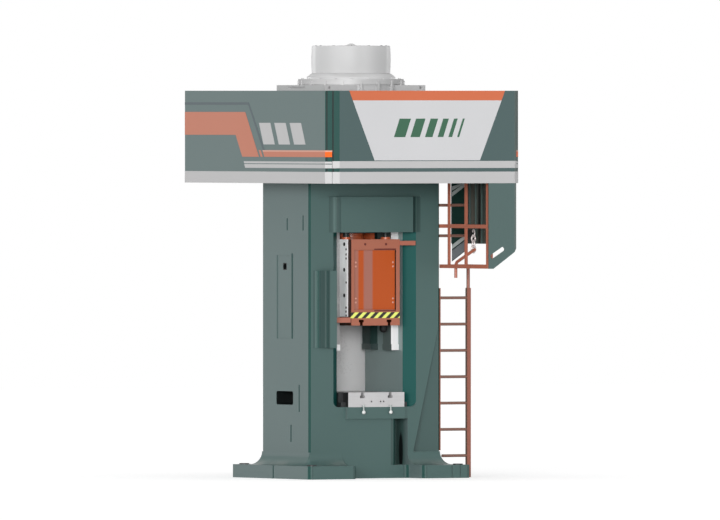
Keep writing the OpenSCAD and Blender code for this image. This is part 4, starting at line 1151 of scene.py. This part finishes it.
@dataclass
class PanelDressing:
    """Plain slanted bars and faint lines on the parapet's side panels, and seams at its front corners."""

    skin: float = 0.0019
    sunk: float = 0.002
    bar_y: tuple[float, ...] = (-1.130, -0.790, -0.450)
    bar_len: float = 0.250
    bar_z: Span = (3.800, 4.045)
    slant: float = 0.10
    line_y: Triple = (1.560, 0.140, -0.190)
    line_z: Span = (3.725, 4.250)
    line_thick: float = 0.028
    line_mitre: float = 0.012
    line_width: float = 0.046
    corner_leg: float = 0.120
    seam_skin: float = 0.0009
    seam_end: float = 0.001
    seam_shares: tuple[Span, ...] = ((0.07, 0.17), (0.50, 0.60))

    def mirrored(self, outline: Sequence[Span]) -> Mesh:
        """Returns one flat skin on the left panel and its mirror image on the right one."""
        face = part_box("side_stripes")[1][0] - self.sunk
        return join([prism(outline, sign * face, sign * (face + self.skin), 0) for sign in (-1, 1)])

    def build(self) -> None:
        """Builds the bars, the faint lines and the seams.

        A line is level from the rear to its knee, and slants down from there to its tip.
        """
        low, high = self.bar_z
        bars = [self.mirrored([(y, low), (y + self.bar_len, low), (y + self.bar_len + self.slant, high),
                               (y + self.slant, high)]) for y in self.bar_y]
        add_piece("side_bars", join(bars), PALE_GREY)
        (rear, knee, tip), (lower, upper) = self.line_y, self.line_z
        mitre = [(knee - self.line_mitre, upper + self.line_thick), (knee, upper)]
        line = [self.mirrored([(rear, upper), (rear, upper + self.line_thick), *mitre]),
                self.mirrored([*mitre[::-1], (tip - self.line_width, lower), (tip, lower)])]
        add_piece("side_shade_lines", join(line), STRIPE_SHADE)
        self.build_seams()

    def build_seams(self) -> None:
        """Builds dark upright strips on the 45 degree corners at the front, beside the fold's seam.

        A corner's point at share t runs from the side panel's front edge to the front panel's edge.
        """
        low, high = box_of("fascia_front")
        side = box_of("fascia_left")[0][0]
        start, end = np.array([side, low[1] + self.corner_leg]), np.array([side + self.corner_leg, low[1]])
        out = np.array([-1.0, -1.0]) / math.sqrt(2) * self.seam_skin
        parts = []
        for first, last in self.seam_shares:
            near, far = start + (end - start) * first, start + (end - start) * last
            for sign in (1.0, -1.0):
                outline = np.array([near - out, far - out, far + out, near + out]) * (sign, 1.0)
                parts.append(prism(outline, low[2] + self.seam_end, high[2] - self.seam_end, 2))
        add_piece("corner_seams", join(parts), SEAM_DARK)


@dataclass
class FrameFittings:
    """Screws round the rear guard sheet. A head has a radius and a height."""

    head: Span = (0.010, 0.004)
    edge: float = 0.022
    rows: int = 7
    columns: int = 3

    def build(self) -> None:
        """Builds the screws on the sheet's rim."""
        low, high = box_of("rear_guard_sheet")
        across = np.linspace(low[0] + self.edge, high[0] - self.edge, self.columns)
        upward = np.linspace(low[2] + self.edge, high[2] - self.edge, self.rows)
        rim = [(x, high[1], z) for x in across for z in upward
               if x in (across[0], across[-1]) or z in (upward[0], upward[-1])]
        fasten("guard_screws", Head.DOME, *self.head, rim, (0, 1, 0), BLACK_OXIDE)


@dataclass
class SlideStop:
    """Rubber stop that hangs under the slide."""

    x: float = 0.260
    y: float = -0.282
    radius: float = 0.043
    length: float = 0.086
    neck: float = 0.9
    neck_low: float = 0.006
    neck_high: float = 0.004
    sunk: float = 0.001

    def build(self) -> None:
        """Builds the stop: a short barrel whose foot is a half ball."""
        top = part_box("slide_bottom_plate")[0][2]
        low, neck, root = top - self.length, self.radius * self.neck, top + self.sunk
        dome = arc(self.radius, low + self.radius, -math.pi / 2, 0.0, 9)[1:]
        profile = [(0, low), *dome, (self.radius, top - self.neck_low), (neck, top - self.neck_high),
                   (neck, root), (0, root)]
        stop = repeat(lathe(profile, 28), np.array([(self.x, self.y, 0.0)]))
        add_piece("slide_stop", stop, BLACK_RUBBER, "slide")


@dataclass
class BallClamps:
    """Two ball grips on stems under the bolster, in place of the plain ones.

    Both take their place from the left one, because the solid of the right one lacks its ball.
    """

    ball: float = 0.0215
    plain_ball: float = 0.026
    stem: float = 0.009
    middle_z: float = 0.752
    collar: float = 0.0135
    collar_z: Span = (0.817, 0.835)

    def build(self) -> None:
        """Builds both grips: the profile is a circle that runs into the stem, with a collar on its top."""
        low, high = box_of("bolster_clamps")
        lean = math.asin(self.stem / self.ball)
        ball = arc(self.ball, self.middle_z, -math.pi / 2, math.pi / 2 - lean, 15)[1:]
        foot, top = self.collar_z
        profile = [(0, self.middle_z - self.ball), *ball, (self.stem, foot), (self.collar, foot),
                   (self.collar, top), (0, top)]
        x = low[0] + self.plain_ball
        places = np.array([(sign * x, high[1] - self.ball, 0.0) for sign in (-1, 1)])
        grips = repeat(lathe(profile, 24), places)
        piece = add_piece("bolster_ball_grips", grips, BALL_WHITE, smooth_below=50.0)
        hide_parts("bolster_clamps")


@dataclass
class LandingScreen:
    """Dark screen with slanted slats behind the landing's rungs, a chain on the small box, and a seal."""

    y: float = -0.4925
    left: float = 1.048
    right: float = 1.2155
    rise: float = 0.110
    foot: float = 2.462
    top: float = 3.359
    thick: float = 0.003
    slat_out: float = 0.007
    slat_in: float = 0.0002
    slat_bevel: float = 0.001
    dark_slats: tuple[Span, ...] = ((2.474, 2.588),)
    pale_slats: tuple[Span, ...] = ((2.604, 2.652), (3.205, 3.252), (3.270, 3.320))
    seal_y: Span = (-0.773, -0.718)
    seal_foot: float = 2.666
    seal_x: Span = (1.264, 1.2685)
    hook: Triple = (0.028, -0.015, -0.004)
    link_points: int = 25
    link_wire: float = 0.010
    link_long: float = 0.040
    link_wide: float = 0.025
    links: int = 4

    def sloped(self, low: float, high: float) -> list[Span]:
        """Returns a band's corners: its right end is higher by the rise, and nothing passes the top."""
        corners = [(self.left, low), (self.right, low + self.rise), (self.right, high + self.rise),
                   (self.left, high)]
        return [(x, min(z, self.top)) for x, z in corners]

    def chain(self, start: Vector) -> Mesh:
        """Returns hanging links: each is a wire along an oval, and every second one is turned by 90 degrees.

        The oval's point at angle t is (wide * cos t, long * sin t), and links hang one inside another.
        """
        turn = np.linspace(0.0, 2 * math.pi, self.link_points)
        flat, tall, none = self.link_wide * np.cos(turn), self.link_long * np.sin(turn), np.zeros(len(turn))
        parts = []
        for number in range(self.links):
            path = np.stack([flat, none, tall] if number % 2 else [none, flat, tall], axis=1)
            drop = number * 2 * (self.link_long - self.link_wire)
            place = np.array([(start.x, start.y, start.z - self.link_long - drop)])
            parts.append(repeat(tube(path, self.link_wire, 8), place))
        return join(parts)

    def build(self) -> None:
        """Builds the sheet, its slats, the chain on the small box and the dark seal on the side shield."""
        sheet = prism(self.sloped(self.foot, self.top), self.y, self.y + self.thick, 1)
        add_piece("landing_sheet", sheet, SCREEN_DARK)
        for tone, slats, finish in (("dark", self.dark_slats, SLAT_DARK),
                                    ("pale", self.pale_slats, SLAT_GREY)):
            bands = [prism(self.sloped(*slat), self.y - self.slat_out, self.y + self.slat_in, 1)
                     for slat in slats]
            add_piece(f"landing_slats_{tone}", join(bands), finish, bevel=self.slat_bevel)
        low, high = box_of("junction_box")
        start = Vector((low[0], low[1], high[2])) + Vector(self.hook)
        add_piece("landing_chain", self.chain(start), CHAIN_ZINC, smooth_below=60.0)
        seal = prism(oblong(self.seal_y, (self.seal_foot, self.top)), *self.seal_x, 0)
        add_piece("shield_seal", seal, BLACK_RUBBER)


@dataclass
class Stage:
    """Floor, soft light and the camera at the photograph's angle."""

    azimuth: float = -31.0
    elevation: float = 0.48
    distance: float = 228.0
    lens: float = 1000.0
    target: Triple = (0.088, -0.053, 2.480)
    floor_half: float = 60.0
    floor_glow: float = 0.47
    floor_tone: Colour = (0.86, 0.86, 0.86)
    white: Colour = (1.0, 1.0, 1.0)
    world_level: float = 0.36
    suns: tuple[tuple[str, Triple, float, float], ...] = (
        ("sun_ahead", (0.52, 0.86, -0.08), 1.55, 14.0),
        ("sun_left", (0.77, 0.64, -0.12), 1.10, 20.0),
        ("sun_above", (0.10, 0.15, -1.0), 0.70, 60.0))

    def camera(self) -> None:
        """Places the camera: it looks at the target from the azimuth, along -back."""
        a, e = math.radians(self.azimuth), math.radians(self.elevation)
        back = Vector((math.sin(a) * math.cos(e), -math.cos(a) * math.cos(e), math.sin(e)))
        data = bpy.data.cameras.new("camera")
        data.lens = self.lens
        data.clip_start, data.clip_end = 1.0, 500.0
        camera = put("camera", data)
        camera.location = Vector(self.target) + back * self.distance
        camera.rotation_euler = (-back).to_track_quat("-Z", "Y").to_euler()
        bpy.context.scene.camera = camera

    def world(self) -> None:
        """Makes a world that is white to the eye and in gloss, and gives the rest as soft light."""
        world = bpy.data.worlds.new("studio")
        bpy.context.scene.world = world
        world.use_nodes = True
        net = Net(world.node_tree)
        level = net.add("MapRange", {0: net.seen(), 3: self.world_level, 4: 1.0})
        net.feed(world.node_tree.nodes["Background"],
                 {"Color": rgba(self.white), "Strength": level.outputs[0]})

    def sun(self, name: str, towards: Sequence[float], strength: float, spread: float) -> None:
        """Adds a wide soft sun that shines towards a direction, with its spread in degrees."""
        data = bpy.data.lights.new(name, "SUN")
        data.energy = strength
        data.angle = math.radians(spread)
        data.specular_factor = 0.0
        put(name, data).rotation_euler = Vector(towards).to_track_quat("-Z", "Y").to_euler()

    def floor(self) -> None:
        """Adds a pale floor that looks white where no shadow falls on it."""
        half = self.floor_half
        data = bpy.data.meshes.new("floor")
        data.from_pydata([(-half, -half, 0), (half, -half, 0), (half, half, 0), (-half, half, 0)], [],
                         [(0, 1, 2, 3)])
        floor = put("floor", data)
        material = bpy.data.materials.new("floor")
        material.use_nodes = True
        net = Net(material.node_tree)
        net.feed(material.node_tree.nodes["Principled BSDF"], {
            "Base Color": rgba(self.floor_tone), "Roughness": 1.0, "Specular IOR Level": 0.0,
            "Emission Color": rgba(self.white),
            "Emission Strength": net.product(net.seen(), self.floor_glow)})
        data.materials.append(material)

    def build(self) -> None:
        """Builds the whole stage."""
        scene = bpy.context.scene
        scene.view_settings.view_transform = "Standard"
        self.world()
        self.floor()
        for sun in self.suns:
            self.sun(*sun)
        self.camera()


def main() -> None:
    """Builds the stage, the finishes and every sub-assembly in order."""
    logging.basicConfig(level=logging.INFO, format="%(name)s: %(message)s")
    Stage().build()
    dress_nodes()
    for assembly in (Screw(), SlideFittings(), MotorFittings(), PanelDressing(), FrameFittings(), SlideStop(),
                     BallClamps(), LandingScreen()):
        assembly.build()
        LOG.info("built %s", type(assembly).__name__)


if __name__ == "__main__":
    main()
